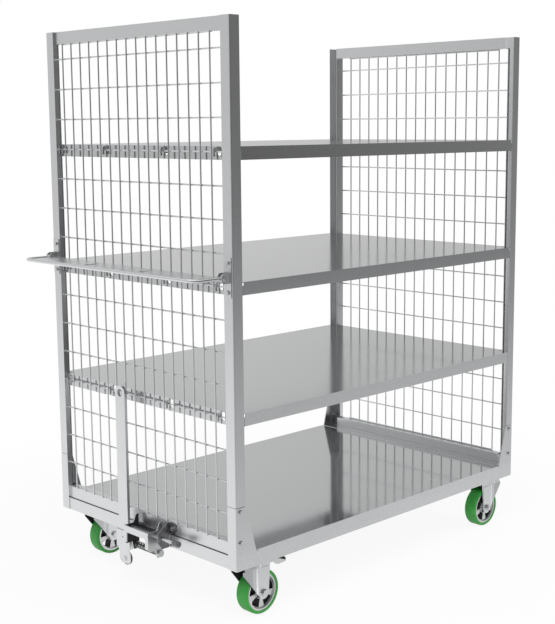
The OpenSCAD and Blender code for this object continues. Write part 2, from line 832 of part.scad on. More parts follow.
module rim() {
    ring_w = wheel_w - 2 * rim_inset;
    web_w = wheel_w - 2 * web_inset;
    color("gainsboro") translate([trail, 0, axle_z]) rotate([90, 0, 0]) difference() {
        rotate_extrude() polygon([[bearing_d / 2, -hub_l / 2], [hub_d / 2, -hub_l / 2],
            [hub_d / 2 + 2, -web_w / 2], [rim_r - rim_ring, -web_w / 2], [rim_r - rim_ring + 2, -ring_w / 2],
            [rim_r, -ring_w / 2], [rim_r, ring_w / 2], [rim_r - rim_ring + 2, ring_w / 2],
            [rim_r - rim_ring, web_w / 2], [hub_d / 2 + 2, web_w / 2], [hub_d / 2, hub_l / 2],
            [bearing_d / 2, hub_l / 2]]);
        for (i = [0 : spokes - 1]) rotate([0, 0, 90 + i * 360 / spokes])
            translate([0, 0, -wheel_w / 2]) linear_extrude(wheel_w) spoke_window();
    }
}

module bearings() {
    color("dimgray") translate([trail, 0, axle_z]) rotate([90, 0, 0]) for (s = [-1, 1])
        translate([0, 0, s * (hub_l - bearing_l) / 2 - bearing_l / 2]) difference() {
            cylinder(d = bearing_d, h = bearing_l);
            translate([0, 0, -1]) cylinder(d = axle_d + turn_play, h = bearing_l + 2);
        }
}

module tyre() {
    shoulder = 7;
    r = wheel_d / 2;
    side = wheel_w / 2;
    color("limegreen") translate([trail, 0, axle_z]) rotate([90, 0, 0]) rotate_extrude() difference() {
        translate([rim_r, -side]) square([r - rim_r, wheel_w]);
        for (s = [0, 1]) mirror([0, s]) translate([r, side]) rotate([0, 0, 180]) corner_waste(shoulder);
    }
}

module fork_tow_front() { caster_tow(-1) fork(true); }
module fork_tow_back() { caster_tow(1) fork(true); }
module fork_far_front() { caster_far(-1) fork(false); }
module fork_far_back() { caster_far(1) fork(false); }
module axle_tow_front() { caster_tow(-1) axle(); }
module axle_tow_back() { caster_tow(1) axle(); }
module axle_far_front() { caster_far(-1) axle(); }
module axle_far_back() { caster_far(1) axle(); }
module rim_tow_front() { caster_tow(-1) rim(); }
module rim_tow_back() { caster_tow(1) rim(); }
module rim_far_front() { caster_far(-1) rim(); }
module rim_far_back() { caster_far(1) rim(); }
module bearings_tow_front() { caster_tow(-1) bearings(); }
module bearings_tow_back() { caster_tow(1) bearings(); }
module bearings_far_front() { caster_far(-1) bearings(); }
module bearings_far_back() { caster_far(1) bearings(); }
module tyre_tow_front() { caster_tow(-1) tyre(); }
module tyre_tow_back() { caster_tow(1) tyre(); }
module tyre_far_front() { caster_far(-1) tyre(); }
module tyre_far_back() { caster_far(1) tyre(); }

// Brakes

// Side profile of a lever: a flat stretch, then the tread plate bent down
module lever_profile() {
    tip = [brake_l + pedal_l * cos(pedal_bend), -pedal_l * sin(pedal_bend)];
    polygon([[0, 0], [brake_l, 0], tip, tip + brake_t * [sin(pedal_bend), cos(pedal_bend)],
        [brake_l + brake_t * tan(pedal_bend / 2), brake_t], [0, brake_t]]);
}

// Side profile of a lever's skirt, which hangs behind the wheel and runs out at the tip
module skirt_profile() {
    start = 26;
    deep = 16;
    inset = 0.5;
    end_l = pedal_l - inset;
    across = [cos(pedal_bend), -sin(pedal_bend)];
    upward = [sin(pedal_bend), cos(pedal_bend)];
    polygon([[brake_l - start, brake_t / 2], [brake_l - start / 3, -deep + 3], [brake_l + start / 4, -deep],
        [brake_l, 0] + end_l * across - upward, [brake_l, 0] + end_l * across + brake_t / 2 * upward,
        [brake_l, brake_t / 2]]);
}

module brake_lever() {
    skirt_inset = 0.5;
    sleeve_w = brake_w + 2;
    color("silver") translate([brake_axis_x, 0, brake_z]) {
        translate([0, -sleeve_w / 2, 0]) rod_y(brake_sleeve_d, sleeve_w);
        translate([0, -axle_seat, 0]) rod_y(brake_pin_d, 2 * axle_seat);
        rotate([0, lever_slope, 0]) translate([0, 0, lever_rise]) {
            translate([0, -brake_w / 2, 0]) upright_plate(brake_w) lever_profile();
            for (s = [-1, 1])
                translate([0, s * ((brake_w - brake_t) / 2 - skirt_inset) - brake_t / 2, 0])
                    upright_plate(brake_t) skirt_profile();
        }
    }
}

// A ribbed rubber pad whose top edges are rounded off
module brake_pad() {
    margin = 2;
    pad_l = pedal_l - margin;
    pad_w = brake_w - 2 * margin;
    soft = 4;
    groove_w = 3;
    groove_pitch = 8;
    color("black") translate([brake_axis_x, 0, brake_z]) rotate([0, lever_slope, 0])
        translate([brake_l, 0, lever_rise]) rotate([0, pedal_bend, 0])
            translate([margin, -pad_w / 2, brake_t]) difference() {
                upright_plate(pad_w) polygon([[0, 0], [0, pad_rise - soft], [soft, pad_rise],
                    [pad_l - 2 * soft, pad_rise], [pad_l, pad_rise - soft], [pad_l, 0]]);
                // Grip grooves across the pad
                for (x = [groove_pitch : groove_pitch : pad_l - groove_pitch])
                    translate([x, -1, pad_rise - groove_w / 2]) cube([groove_w, brake_w, groove_w]);
            }
}

module brake_lever_front() { caster_tow(-1) brake_lever(); }
module brake_lever_back() { caster_tow(1) brake_lever(); }
module brake_pad_front() { caster_tow(-1) brake_pad(); }
module brake_pad_back() { caster_tow(1) brake_pad(); }

// Drawbar and coupling, in the drawbar end's frame

module housing_bolt_places() {
    for (y = [housing_left + 24, housing_right - 24])
        translate([end_face, y, base_z + end_rail_h / 2]) children();
}

module guide_bolt_place() {
    translate([bar_recess, guide_y - hitch_t - guide_tab / 2, bottom_rail_z + bar_h / 2]) children();
}

// Side view of a cheek: a tall rear edge, a low front and a lobe round the shaft
module cheek_outline() {
    rear_top = bottom_rail_top - 6;
    front_low = base_z - 12;
    lobe_low = pivot_z - shaft_d / 2 - 9;
    chamfer = 8;
    polygon([[end_face, base_z + 2], [end_face, end_rail_top - 2], [-2, end_rail_top + 2], [-2, rear_top],
        [-12, rear_top], [-24, base_z + housing_top], [-housing_reach, base_z + housing_top],
        [-housing_reach, front_low + chamfer], [-housing_reach + chamfer, front_low],
        [-pivot_out - 18, front_low], [-pivot_out - 11, lobe_low], [-pivot_out + 10, lobe_low],
        [-pivot_out + 12, base_z - 2]]);
}

module cheek(y) {
    translate([0, y, 0]) difference() {
        upright_plate(hitch_t) cheek_outline();
        translate([-pivot_out, -1, pivot_z]) rod_y(shaft_d, hitch_t + 2);
        translate([-lock_out, -1, base_z + lock_z]) rod_y(lock_d + turn_play, hitch_t + 2);
    }
}

module coupling_housing() {
    lip_w = 15;
    band_h = 22;
    front_low = base_z - 4;
    front_h = base_z + housing_top - front_low;
    color("gainsboro") tow_end() difference() {
        union() {
            cheek(housing_right - hitch_t);
            cheek(housing_left);
            translate([end_face - hitch_t, housing_left, base_z + 2])
                cube([hitch_t, housing_w, end_rail_h - 4]);
            // Front lips of the two cheeks, joined by a band along the top
            for (y = [housing_left, housing_right - lip_w])
                translate([-housing_reach, y, front_low]) cube([hitch_t, lip_w, front_h]);
            translate([-housing_reach, housing_left, base_z + housing_top - band_h])
                cube([hitch_t, housing_w, band_h]);
        }
        housing_bolt_places() translate([-hitch_t - 1, 0, 0]) rod_x(frame_bolt_d + bolt_play, hitch_t + 2);
    }
}

module coupling_bolts() {
    color("silver") tow_end() {
        housing_bolt_places() translate([-hitch_t, 0, 0]) rotate([0, 90, 0])
            bolt(frame_bolt_d, hitch_t + tube_t);
        guide_bolt_place() translate([-hitch_t, 0, 0]) rotate([0, 90, 0])
            bolt(frame_bolt_d, hitch_t + sheet_t);
    }
}

// An upright plate that guides the locking pin, with a rounded tab on the bottom rail
module lock_guide() {
    low = bottom_rail_z + 3;
    high = bottom_rail_top - 3;
    nose = lock_out + 14;
    tab_r = 10;
    pin_z = base_z + lock_z;
    color("gainsboro") tow_end() difference() {
        union() {
            translate([0, guide_y - hitch_t, 0]) upright_plate(hitch_t)
                polygon([[bar_recess, low], [bar_recess, high], [-6, high], [-nose, pin_z + 18],
                    [-nose, pin_z - 14], [-nose + 14, base_z], [0, base_z], [0, low]]);
            difference() {
                translate([bar_recess - hitch_t, guide_y - hitch_t - guide_tab, low])
                    cube([hitch_t, guide_tab + eps, high - low]);
                for (z = [0, 1]) translate([0, guide_y - hitch_t - guide_tab, z * (high - low) + low])
                    mirror([0, 0, z]) rotate([90, 0, 90]) linear_extrude(2 * bar_recess) corner_waste(tab_r);
            }
        }
        guide_bolt_place() translate([-hitch_t - 1, 0, 0]) rod_x(frame_bolt_d + bolt_play, hitch_t + 2);
        translate([-lock_out, guide_y - hitch_t - 1, pin_z]) rod_y(lock_d + turn_play, hitch_t + 2);
    }
}

module fold_shaft() {
    color("silver") tow_end() translate([-pivot_out, housing_left, pivot_z]) rotate([-90, 0, 0])
        bolt(shaft_d, drawbar_y + foot_w / 2 + 1 - housing_left);
}

// Section of a coil across its axis, drawn so that the wire comes out round
function coil_section(pitch) = [for (t = [0 : 36 : 324])
    let (r = spring_r + spring_wire / 2 * cos(t), a = 180 * spring_wire * sin(t) / pitch)
    [r * cos(a), r * sin(a)]];

// Points along the middle of the spring's wire
function coil_points(l) = [for (i = [0 : coil_steps * spring_turns])
    let (a = 360 * i / coil_steps)
    [spring_r * cos(a), spring_r * sin(a), l * i / (coil_steps * spring_turns)]];

// Least gap between the wire's points that lie half a turn or more apart
function least_gap(points) = min([for (i = [0 : len(points) - 1])
    for (j = [i + coil_steps / 2 : 1 : len(points) - 1]) norm(points[j] - points[i])]) - spring_wire;

module lift_spring() {
    l = housing_w - 2 * hitch_t;
    echo(lift_spring_least_gap = least_gap(coil_points(l)));
    color("dimgray") tow_end() translate([-pivot_out, housing_left + hitch_t, pivot_z]) rotate([-90, 0, 0])
        linear_extrude(l, twist = -360 * spring_turns, slices = coil_steps * spring_turns, $fn = 8)
            polygon(coil_section(l / spring_turns));
}

// The bar with its eye, standing upright, and the foot that turns on the shaft
module drawbar() {
    bar_x = -drawbar_out;
    bar_back = bar_x + drawbar_t;
    web_x = bar_x - hitch_t;
    low = pivot_z - foot_low;
    high = pivot_z + foot_top;
    eye_z = pivot_z + drawbar_l;
    boss_d = shaft_d + 8;
    knee_z = roller_z + 20;
    tab_r = 16;
    tab_low = roller_z - roller_tab_low;
    screw_d = 6;
    color("gainsboro") tow_end() translate([0, drawbar_y, 0]) difference() {
        union() {
            translate([bar_x, -drawbar_w / 2, low]) cube([drawbar_t, drawbar_w, drawbar_l + foot_low]);
            translate([bar_x, 0, eye_z]) rod_x(drawbar_w, drawbar_t);
            // Foot: a web in front of the bar, two cheeks and a boss on the shaft
            translate([web_x, -foot_w / 2, low]) cube([hitch_t, foot_w, high - low]);
            for (s = [-1, 1])
                translate([0, s * (foot_w - hitch_t) / 2 - hitch_t / 2, 0]) upright_plate(hitch_t)
                    polygon([[web_x, low], [web_x, high], [bar_back, high], [boss_d / 2 - pivot_out, pivot_z],
                        [-pivot_out, pivot_z - boss_d / 2], [bar_back, low]]);
            translate([-pivot_out, -foot_w / 2, pivot_z]) rod_y(boss_d, foot_w);
            // Slanting band and the roller's plate
            translate([0, -roller_tab_w / 2, 0]) upright_plate(roller_tab_w)
                polygon([[web_x, low + eps], [bar_x, low + eps], [roller_x, knee_z], [roller_x, tab_low],
                    [roller_x - hitch_t, tab_low], [roller_x - hitch_t, knee_z]]);
        }
        for (s = [0, 1]) translate([roller_x - hitch_t - 1, 0, tab_low])
            mirror([0, s, 0]) translate([0, -roller_tab_w / 2, 0]) rotate([90, 0, 90])
                linear_extrude(hitch_t + 2) corner_waste(tab_r);
        translate([bar_x - 1, 0, eye_z]) rod_x(eye_d, drawbar_t + 2);
        translate([-pivot_out, -foot_w, pivot_z]) rod_y(shaft_d + turn_play, 2 * foot_w);
        translate([roller_x - hitch_t - 1, 0, roller_z]) rod_x(roller_pin_d, hitch_t + 2);
        translate([web_x - 1, 0, pivot_z + foot_low - 2]) rod_x(screw_d, hitch_t + 1);
    }
}

module roller_pin() {
    head_h = 4;
    collar_h = 3;
    l = hitch_t + roller_w + 2 * roller_gap;
    color("silver") tow_end() translate([roller_x - hitch_t, drawbar_y, roller_z]) rotate([0, 90, 0]) {
        translate([0, 0, -head_h]) hexagon(bolt_flats(roller_pin_d), head_h);
        cylinder(d = roller_pin_d, h = l);
        translate([0, 0, l]) cylinder(d = roller_pin_d + 8, h = collar_h);
    }
}

module guide_roller() {
    crown = 3;
    recess = 2;
    bore_r = (roller_pin_d + turn_play) / 2;
    r = roller_d / 2;
    color("dimgray") tow_end() translate([roller_x + roller_gap, drawbar_y, roller_z]) rotate([0, 90, 0])
        rotate_extrude() difference() {
            translate([bore_r, 0]) square([r - bore_r, roller_w]);
            translate([r, 0]) rotate(90) corner_waste(crown);
            translate([r, roller_w]) rotate(180) corner_waste(crown);
            // Side recess between hub and tread
            translate([bore_r + 5, -1]) square([r - bore_r - 11, recess + 1]);
        }
}

module lock_pin() {
    color("silver") tow_end() translate([-lock_out, knob_y, base_z + lock_z])
        rod_y(lock_d, lock_tip - knob_y);
}

module lock_knob() {
    flute_d = 6;
    flutes = 8;
    edge = 4;
    r = knob_d / 2;
    color("dimgray") tow_end() translate([-lock_out, knob_y, base_z + lock_z])
        rotate([90, 0, 0]) difference() {
        rotate_extrude()
            polygon([[0, 0], [r - edge, 0], [r, edge], [r, knob_l - edge], [r - edge, knob_l], [0, knob_l]]);
        for (i = [0 : flutes - 1]) rotate([0, 0, i * 360 / flutes]) translate([r + flute_d / 4, 0, -1])
            cylinder(d = flute_d, h = knob_l + 2);
    }
}

base_frame();
deck_plate();
corner_shoes();
shoe_bolts();
post_tow_front();
post_tow_back();
post_far_front();
post_far_back();
top_bar_tow();
top_bar_far();
bottom_rail_tow();
bottom_rail_far();
mesh_tow();
mesh_far();
shelf_lower();
shelf_middle();
shelf_upper();
tray_brackets();
tray_bracket_bolts();
tray_fold_bolts();
tray_rod();
tray_plate();
caster_plates();
caster_bolts();
king_pins();
fork_tow_front();
fork_tow_back();
fork_far_front();
fork_far_back();
axle_tow_front();
axle_tow_back();
axle_far_front();
axle_far_back();
rim_tow_front();
rim_tow_back();
rim_far_front();
rim_far_back();
bearings_tow_front();
bearings_tow_back();
bearings_far_front();
bearings_far_back();
tyre_tow_front();
tyre_tow_back();
tyre_far_front();
tyre_far_back();
brake_lever_front();
brake_lever_back();
brake_pad_front();
brake_pad_back();
coupling_housing();
coupling_bolts();
lock_guide();
fold_shaft();
lift_spring();
drawbar();
roller_pin();
guide_roller();
lock_pin();
lock_knob();
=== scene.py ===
"""Looks of the roll container: bright zinc sheet and wire, green treads, black pedals, in a pale studio."""
import math

import bpy
from mathutils import Matrix, Vector


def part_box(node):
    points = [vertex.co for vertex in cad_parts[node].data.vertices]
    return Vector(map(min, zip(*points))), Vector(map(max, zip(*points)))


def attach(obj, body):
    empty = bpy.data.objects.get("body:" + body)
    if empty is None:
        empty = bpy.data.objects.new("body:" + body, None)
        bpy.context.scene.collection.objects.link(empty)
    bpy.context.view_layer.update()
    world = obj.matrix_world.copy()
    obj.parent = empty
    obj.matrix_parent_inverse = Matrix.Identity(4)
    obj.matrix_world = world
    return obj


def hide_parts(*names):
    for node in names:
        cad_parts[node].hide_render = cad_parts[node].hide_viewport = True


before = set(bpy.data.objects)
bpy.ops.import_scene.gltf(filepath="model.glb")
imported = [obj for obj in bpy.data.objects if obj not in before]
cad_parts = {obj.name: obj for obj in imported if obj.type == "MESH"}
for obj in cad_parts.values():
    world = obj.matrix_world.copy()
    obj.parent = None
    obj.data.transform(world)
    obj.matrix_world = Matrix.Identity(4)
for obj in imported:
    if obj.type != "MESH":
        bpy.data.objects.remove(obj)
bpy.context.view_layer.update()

# Sizes of the container that the added pieces and finishes follow, in metres
TOW_FACE = -0.653
FAR_FACE = 0.787
MESH_COLUMNS = 16
MESH_ROWS = 15
MESH_PITCH_Y = 0.050
MESH_PITCH_Z = 0.100
MESH_LOW = 0.365
MESH_BORDER_LOW = 0.2765
MESH_BORDER_HIGH = 1.8135
MESH_SIDE = 0.425
WIRE_D = 0.005
WELD_DEPTH = 0.0053
CASTER_Y = 0.395
SWIVEL_TOW = -0.543
SWIVEL_FAR = 0.727
TRAIL = 0.040
FORK_FOLD = 0.014
FORK_INSIDE = 0.0266
WHEEL_R = 0.0725
WHEEL_W = 0.049
RIM_R = 0.0615
TREAD_SHOULDER = 0.0075
CHEEK_T = 0.004
WEB_HALF = 0.0165
POST_SIDE = 0.465
POST_INSIDE = 0.425
POST_D = 0.038
POST_LIP = 0.018
POST_LOW = 0.3925
RAIL_LOW = 0.234
RAIL_HIGH = 0.274
BAR_LOW = 1.816
PANEL_TOP = 1.856
SHEET_T = 0.002
EDGE_FOLD = 0.017
FOLD_PROUD = 0.0002
LOCK_X = -0.683
LOCK_Z = 0.226
COIL_START = -0.1005
COIL_R = 0.0088
COIL_WIRE = 0.0028
COIL_PITCH = 0.0071
COIL_TURNS = 16
NUGGET_R = 0.7 * WIRE_D
NUGGET_SHAPE = (0.75, 1.0, 1.15)
EDGE_ROUND = 0.3 * SHEET_T

# How finely the added pieces are made
TREAD_STEPS = 96
SHOULDER_STEPS = 7
ROUND_STEPS = 3
COIL_STEPS = 24
COIL_SIDES = 8
MERGE_GAP = 0.00002
SMOOTH_ANGLE = math.radians(40)
FACING = 0.9

# The camera, solved from the straight edges of the photograph
CAMERA_PLACE = (-2.9956, -3.0704, 1.5398)
CAMERA_RIGHT = (0.708023, -0.706158, -0.006671)
CAMERA_UP = (0.108608, 0.099551, 0.989087)
CAMERA_AHEAD = (0.697787, 0.701021, -0.147179)
CAMERA_LENS = 69.136
CAMERA_SHIFT = (-0.02542, -0.01304)
SENSOR_WIDTH = 36.0
CLIP_END = 300.0

# The studio: how far its cards stand, and the levels of the cards and the floor in reflections
SURROUND_RADIUS = 12.0
CARD_FRONT = 0.11
CARD_BACK = 0.71
FLOOR_NEAR = 0.99
FLOOR_BACKWARD = 0.384
FLOOR_FALL = -0.2375
CARD_EDGE = 0.9 * SURROUND_RADIUS
GLOW_LOW = 0.55 * SURROUND_RADIUS
GLOW_HIGH = 0.85 * SURROUND_RADIUS
GLOW_LEVEL = 0.7
FLOOR_RADIUS = 80.0
FLOOR_DROP = 0.0005
FLOOR_MIRRORED = 0.80
SHADOW_NEAR = 0.7
SHADOW_FAR = 2.4
SHADOW_WHITE = 0.90
KEY_LAMP = dict(place=(-3.2, -2.4, 4.6), target=(0.0, 0.0, 0.8), size=3.0, power=170.0)
FILL_LAMP = dict(place=(3.0, -3.6, 3.0), target=(0.2, 0.0, 0.8), size=3.0, power=60.0)


# Node helpers

def add_node(tree, kind, **values):
    """Adds a shader node, sets its plain attributes and its unlinked inputs by name."""
    node = tree.nodes.new(kind)
    for name, value in values.items():
        if hasattr(node, name):
            setattr(node, name, value)
        else:
            node.inputs[name.replace("_", " ")].default_value = value
    return node


def new_group(name, inputs, outputs):
    """Starts a shader node group with named sockets and returns it with its two ends."""
    group = bpy.data.node_groups.new(name, "ShaderNodeTree")
    for label, kind in inputs:
        group.interface.new_socket(name=label, in_out="INPUT", socket_type=kind)
    for label, kind in outputs:
        group.interface.new_socket(name=label, in_out="OUTPUT", socket_type=kind)
    return group, group.nodes.new("NodeGroupInput"), group.nodes.new("NodeGroupOutput")


def place_group(tree, group, **values):
    """Places a node group in a material with its own values."""
    node = tree.nodes.new("ShaderNodeGroup")
    node.node_tree = group
    for name, value in values.items():
        node.inputs[name].default_value = value
    return node


def math_node(tree, operation, first, second=None, clamp=False):
    """A Math node whose inputs are sockets or plain numbers."""
    node = tree.nodes.new("ShaderNodeMath")
    node.operation = operation
    node.use_clamp = clamp
    for index, value in enumerate((first, second)):
        if value is None:
            continue
        if isinstance(value, (int, float)):
            node.inputs[index].default_value = value
        else:
            tree.links.new(value, node.inputs[index])
    return node.outputs[0]


def map_range(tree, value, low, high, to_low, to_high, easing="SMOOTHSTEP"):
    """A clamped remap of a socket from one range to another, smooth unless told to be linear."""
    node = tree.nodes.new("ShaderNodeMapRange")
    node.interpolation_type = easing
    tree.links.new(value, node.inputs["Value"])
    node.inputs["From Min"].default_value = low
    node.inputs["From Max"].default_value = high
    node.inputs["To Min"].default_value = to_low
    node.inputs["To Max"].default_value = to_high
    return node.outputs["Result"]


def split_axes(tree, coords):
    """The X, Y and Z sockets of a place."""
    parts = tree.nodes.new("ShaderNodeSeparateXYZ")
    tree.links.new(coords, parts.inputs[0])
    return parts.outputs


def mix_colour(tree, factor, first, second):
    """Mixes two colours, each a socket or a plain RGB, by a socket."""
    node = tree.nodes.new("ShaderNodeMix")
    node.data_type = "RGBA"
    tree.links.new(factor, node.inputs["Factor"])
    for label, value in (("A", first), ("B", second)):
        socket = [s for s in node.inputs if s.name == label and s.type == "RGBA"][0]
        if isinstance(value, tuple):
            socket.default_value = (*value, 1.0)
        else:
            tree.links.new(value, socket)
    return [s for s in node.outputs if s.type == "RGBA"][0]


# Shared surface effects

def make_grain_group():
    """Fine streaks along one direction, as rolled or drawn metal has."""
    group, start, end = new_group(
        "rolled_grain",
        [("Vector", "NodeSocketVector"), ("Stretch", "NodeSocketVector"), ("Scale", "NodeSocketFloat")],
        [("Value", "NodeSocketFloat")])
    stretched = add_node(group, "ShaderNodeVectorMath", operation="MULTIPLY")
    group.links.new(start.outputs["Vector"], stretched.inputs[0])
    group.links.new(start.outputs["Stretch"], stretched.inputs[1])
    noise = add_node(group, "ShaderNodeTexNoise", Detail=4.0, Roughness=0.6)
    group.links.new(stretched.outputs[0], noise.inputs["Vector"])
    group.links.new(start.outputs["Scale"], noise.inputs["Scale"])
    group.links.new(noise.outputs["Fac"], end.inputs["Value"])
    return group


def make_spangle_group():
    """The faint crystal patches of a zinc coat, broken up by clouds."""
    group, start, end = new_group(
        "zinc_spangle",
        [("Vector", "NodeSocketVector"), ("Scale", "NodeSocketFloat")],
        [("Value", "NodeSocketFloat")])
    cells = add_node(group, "ShaderNodeTexVoronoi", feature="F1", Randomness=1.0)
    group.links.new(start.outputs["Vector"], cells.inputs["Vector"])
    group.links.new(start.outputs["Scale"], cells.inputs["Scale"])
    parts = add_node(group, "ShaderNodeSeparateColor")
    group.links.new(cells.outputs["Color"], parts.inputs["Color"])
    clouds = add_node(group, "ShaderNodeTexNoise", Scale=3.0, Detail=3.0)
    group.links.new(start.outputs["Vector"], clouds.inputs["Vector"])
    half = math_node(group, "MULTIPLY", parts.outputs["Red"], 0.5)
    cloudy = math_node(group, "MULTIPLY", clouds.outputs["Fac"], 0.5)
    group.links.new(math_node(group, "ADD", half, cloudy), end.inputs["Value"])
    return group


def make_scuff_group():
    """Thin scratches where loads slide, in broken patches."""
    group, start, end = new_group(
        "load_scuffs",
        [("Vector", "NodeSocketVector"), ("Stretch", "NodeSocketVector"), ("Amount", "NodeSocketFloat")],
        [("Mask", "NodeSocketFloat")])
    stretched = add_node(group, "ShaderNodeVectorMath", operation="MULTIPLY")
    group.links.new(start.outputs["Vector"], stretched.inputs[0])
    group.links.new(start.outputs["Stretch"], stretched.inputs[1])
    lines = add_node(group, "ShaderNodeTexNoise", Scale=14.0, Detail=6.0, Roughness=0.7, Distortion=0.4)
    group.links.new(stretched.outputs[0], lines.inputs["Vector"])
    patches = add_node(group, "ShaderNodeTexNoise", Scale=5.0, Detail=2.0)
    group.links.new(start.outputs["Vector"], patches.inputs["Vector"])
    thin = map_range(group, lines.outputs["Fac"], 0.60, 0.68, 0.0, 1.0)
    where = map_range(group, patches.outputs["Fac"], 0.48, 0.66, 0.0, 1.0)
    both = math_node(group, "MULTIPLY", thin, where)
    group.links.new(math_node(group, "MULTIPLY", both, start.outputs["Amount"], clamp=True), end.inputs["Mask"])
    return group


def make_dust_group():
    """Road dust that thins out with height above the floor."""
    group, start, end = new_group(
        "floor_dust",
        [("Vector", "NodeSocketVector"), ("Height", "NodeSocketFloat"), ("Amount", "NodeSocketFloat")],
        [("Mask", "NodeSocketFloat")])
    height = split_axes(group, start.outputs["Vector"])["Z"]
    share = math_node(group, "DIVIDE", height, start.outputs["Height"], clamp=True)
    low = math_node(group, "SUBTRACT", 1.0, share)
    clouds = add_node(group, "ShaderNodeTexNoise", Scale=26.0, Detail=5.0, Roughness=0.65)
    group.links.new(start.outputs["Vector"], clouds.inputs["Vector"])
    patchy = map_range(group, clouds.outputs["Fac"], 0.35, 0.70, 0.2, 1.0)
    both = math_node(group, "MULTIPLY", low, patchy)
    group.links.new(math_node(group, "MULTIPLY", both, start.outputs["Amount"], clamp=True), end.inputs["Mask"])
    return group


GRAIN = make_grain_group()
SPANGLE = make_spangle_group()
SCUFFS = make_scuff_group()
DUST = make_dust_group()

# Colours, and how much metal shine dust and the painted shade take away and how much they dull
DUST_COLOUR = (0.34, 0.32, 0.29)
DUST_LOSS = 0.8
DUST_DULLING = 0.4
# Painted shade: a near-black laid in the fork leg insides, the coupling housing and the rim windows, where shade falls
PAINTED_SHADE_COLOUR = (0.030, 0.030, 0.032)
SHADE_METAL_LOSS = 0.7
SHADE_DULLING = 0.25
RIM_SHADE_METAL_LOSS = 0.8
# Painted shade for the tops of the shelves and the deck
TOP_SHADE_COLOUR = (0.55, 0.555, 0.56)
# Painted shade for the fronts of the fork legs, and a painted highlight along their folds
FORK_FRONT_SHADE_COLOUR = (0.52, 0.53, 0.54)
FOLD_HIGHLIGHT_COLOUR = (0.97, 0.97, 0.97)
ALLOY_DARK = (0.66, 0.67, 0.68)
ALLOY_LIGHT = (0.80, 0.80, 0.81)
GREEN_DARK = (0.022, 0.290, 0.030)
GREEN_LIGHT = (0.030, 0.345, 0.038)
PEDAL_BLACK = (0.012, 0.012, 0.013)
ROLLER_BLACK = (0.030, 0.030, 0.032)
STEEL_GREY = (0.20, 0.20, 0.21)

# Depths of relief, and where the finishes, the painted shade and the painted highlight change, in metres
SHEET_RELIEF = 0.04
RELIEF_DEPTH = 0.0004
FINE_DEPTH = 0.0003
LIP_SKIN = (0.0018, 0.0008)
# How far the painted shade darkens the shelf and deck tops
TOP_SHADE_SHARE = 0.55
WINDOW_SKIN = (0.0016, 0.0004)
FORK_SKIN = 0.001
# Spans along a fork leg, from its fold: where the painted shade at the front and the painted highlight on the fold
# start and end
FORK_SHADE = (FORK_FOLD - 0.030, FORK_FOLD - 0.004)
HIGHLIGHT_RISE = (FORK_FOLD - 0.012, FORK_FOLD - 0.003)
HIGHLIGHT_FALL = (FORK_FOLD + 0.001, FORK_FOLD + 0.002)


# Finishes

def start_material(name):
    """An empty material with its Principled shader and its Object coordinates."""
    material = bpy.data.materials.new(name)
    material.use_nodes = True
    tree = material.node_tree
    shader = tree.nodes["Principled BSDF"]
    coords = tree.nodes.new("ShaderNodeTexCoord").outputs["Object"]
    return material, tree, shader, coords


def add_bump(tree, shader, height, strength, distance):
    """Feeds a height into the shader's normal."""
    bump = add_node(tree, "ShaderNodeBump", Strength=strength, Distance=distance)
    tree.links.new(height, bump.inputs["Height"])
    tree.links.new(bump.outputs["Normal"], shader.inputs["Normal"])


def zinc_nodes(tree, coords, bright, dull, rough, rough_span, stretch, scuffed):
    """Zinc plated steel with rolled grain, faint crystal patches and scuffs.

    Returns the sockets of its colour, roughness and relief.
    """
    grain = place_group(tree, GRAIN, Stretch=stretch, Scale=30.0)
    spangle = place_group(tree, SPANGLE, Scale=150.0)
    scuffs = place_group(tree, SCUFFS, Stretch=stretch, Amount=scuffed)
    for group in (grain, spangle, scuffs):
        tree.links.new(coords, group.inputs["Vector"])
    patches = math_node(tree, "ADD", math_node(tree, "MULTIPLY", spangle.outputs["Value"], 0.6),
                        math_node(tree, "MULTIPLY", grain.outputs["Value"], 0.4))
    zinc = mix_colour(tree, map_range(tree, patches, 0.3, 0.7, 0.0, 1.0), dull, bright)
    colour = mix_colour(tree, scuffs.outputs["Mask"], zinc, tuple(0.9 * c for c in bright))
    uneven = map_range(tree, patches, 0.25, 0.75, rough - rough_span, rough + rough_span)
    roughness = math_node(tree, "ADD", uneven, math_node(tree, "MULTIPLY", scuffs.outputs["Mask"], 0.15))
    relief = math_node(tree, "ADD", grain.outputs["Value"],
                       math_node(tree, "MULTIPLY", scuffs.outputs["Mask"], -0.6))
    return colour, roughness, relief


def lay_dust_and_shade(tree, shader, mask, cover_colour, colour, roughness, metal_loss, dulling):
    """Links a zinc finish to the shader with a cover colour where the mask is: road dust in the dusty finishes,
    painted shade (and on the fork a painted highlight) in the fork, housing and rim.
    """
    tree.links.new(mix_colour(tree, mask, colour, cover_colour), shader.inputs["Base Color"])
    lost = math_node(tree, "MULTIPLY", mask, metal_loss)
    tree.links.new(math_node(tree, "SUBTRACT", 1.0, lost, clamp=True), shader.inputs["Metallic"])
    duller = math_node(tree, "MULTIPLY", mask, dulling)
    tree.links.new(math_node(tree, "ADD", roughness, duller, clamp=True), shader.inputs["Roughness"])


def leave_bare(tree, shader, colour, roughness):
    """Links a zinc finish that carries no dust or grease to the shader."""
    tree.links.new(colour, shader.inputs["Base Color"])
    tree.links.new(roughness, shader.inputs["Roughness"])
    shader.inputs["Metallic"].default_value = 1.0


def clean_zinc(name, relief_strength, **finish):
    """Zinc that stays clear of the floor's dust."""
    material, tree, shader, coords = start_material(name)
    colour, roughness, relief = zinc_nodes(tree, coords, **finish)
    leave_bare(tree, shader, colour, roughness)
    add_bump(tree, shader, relief, relief_strength, RELIEF_DEPTH)
    return material


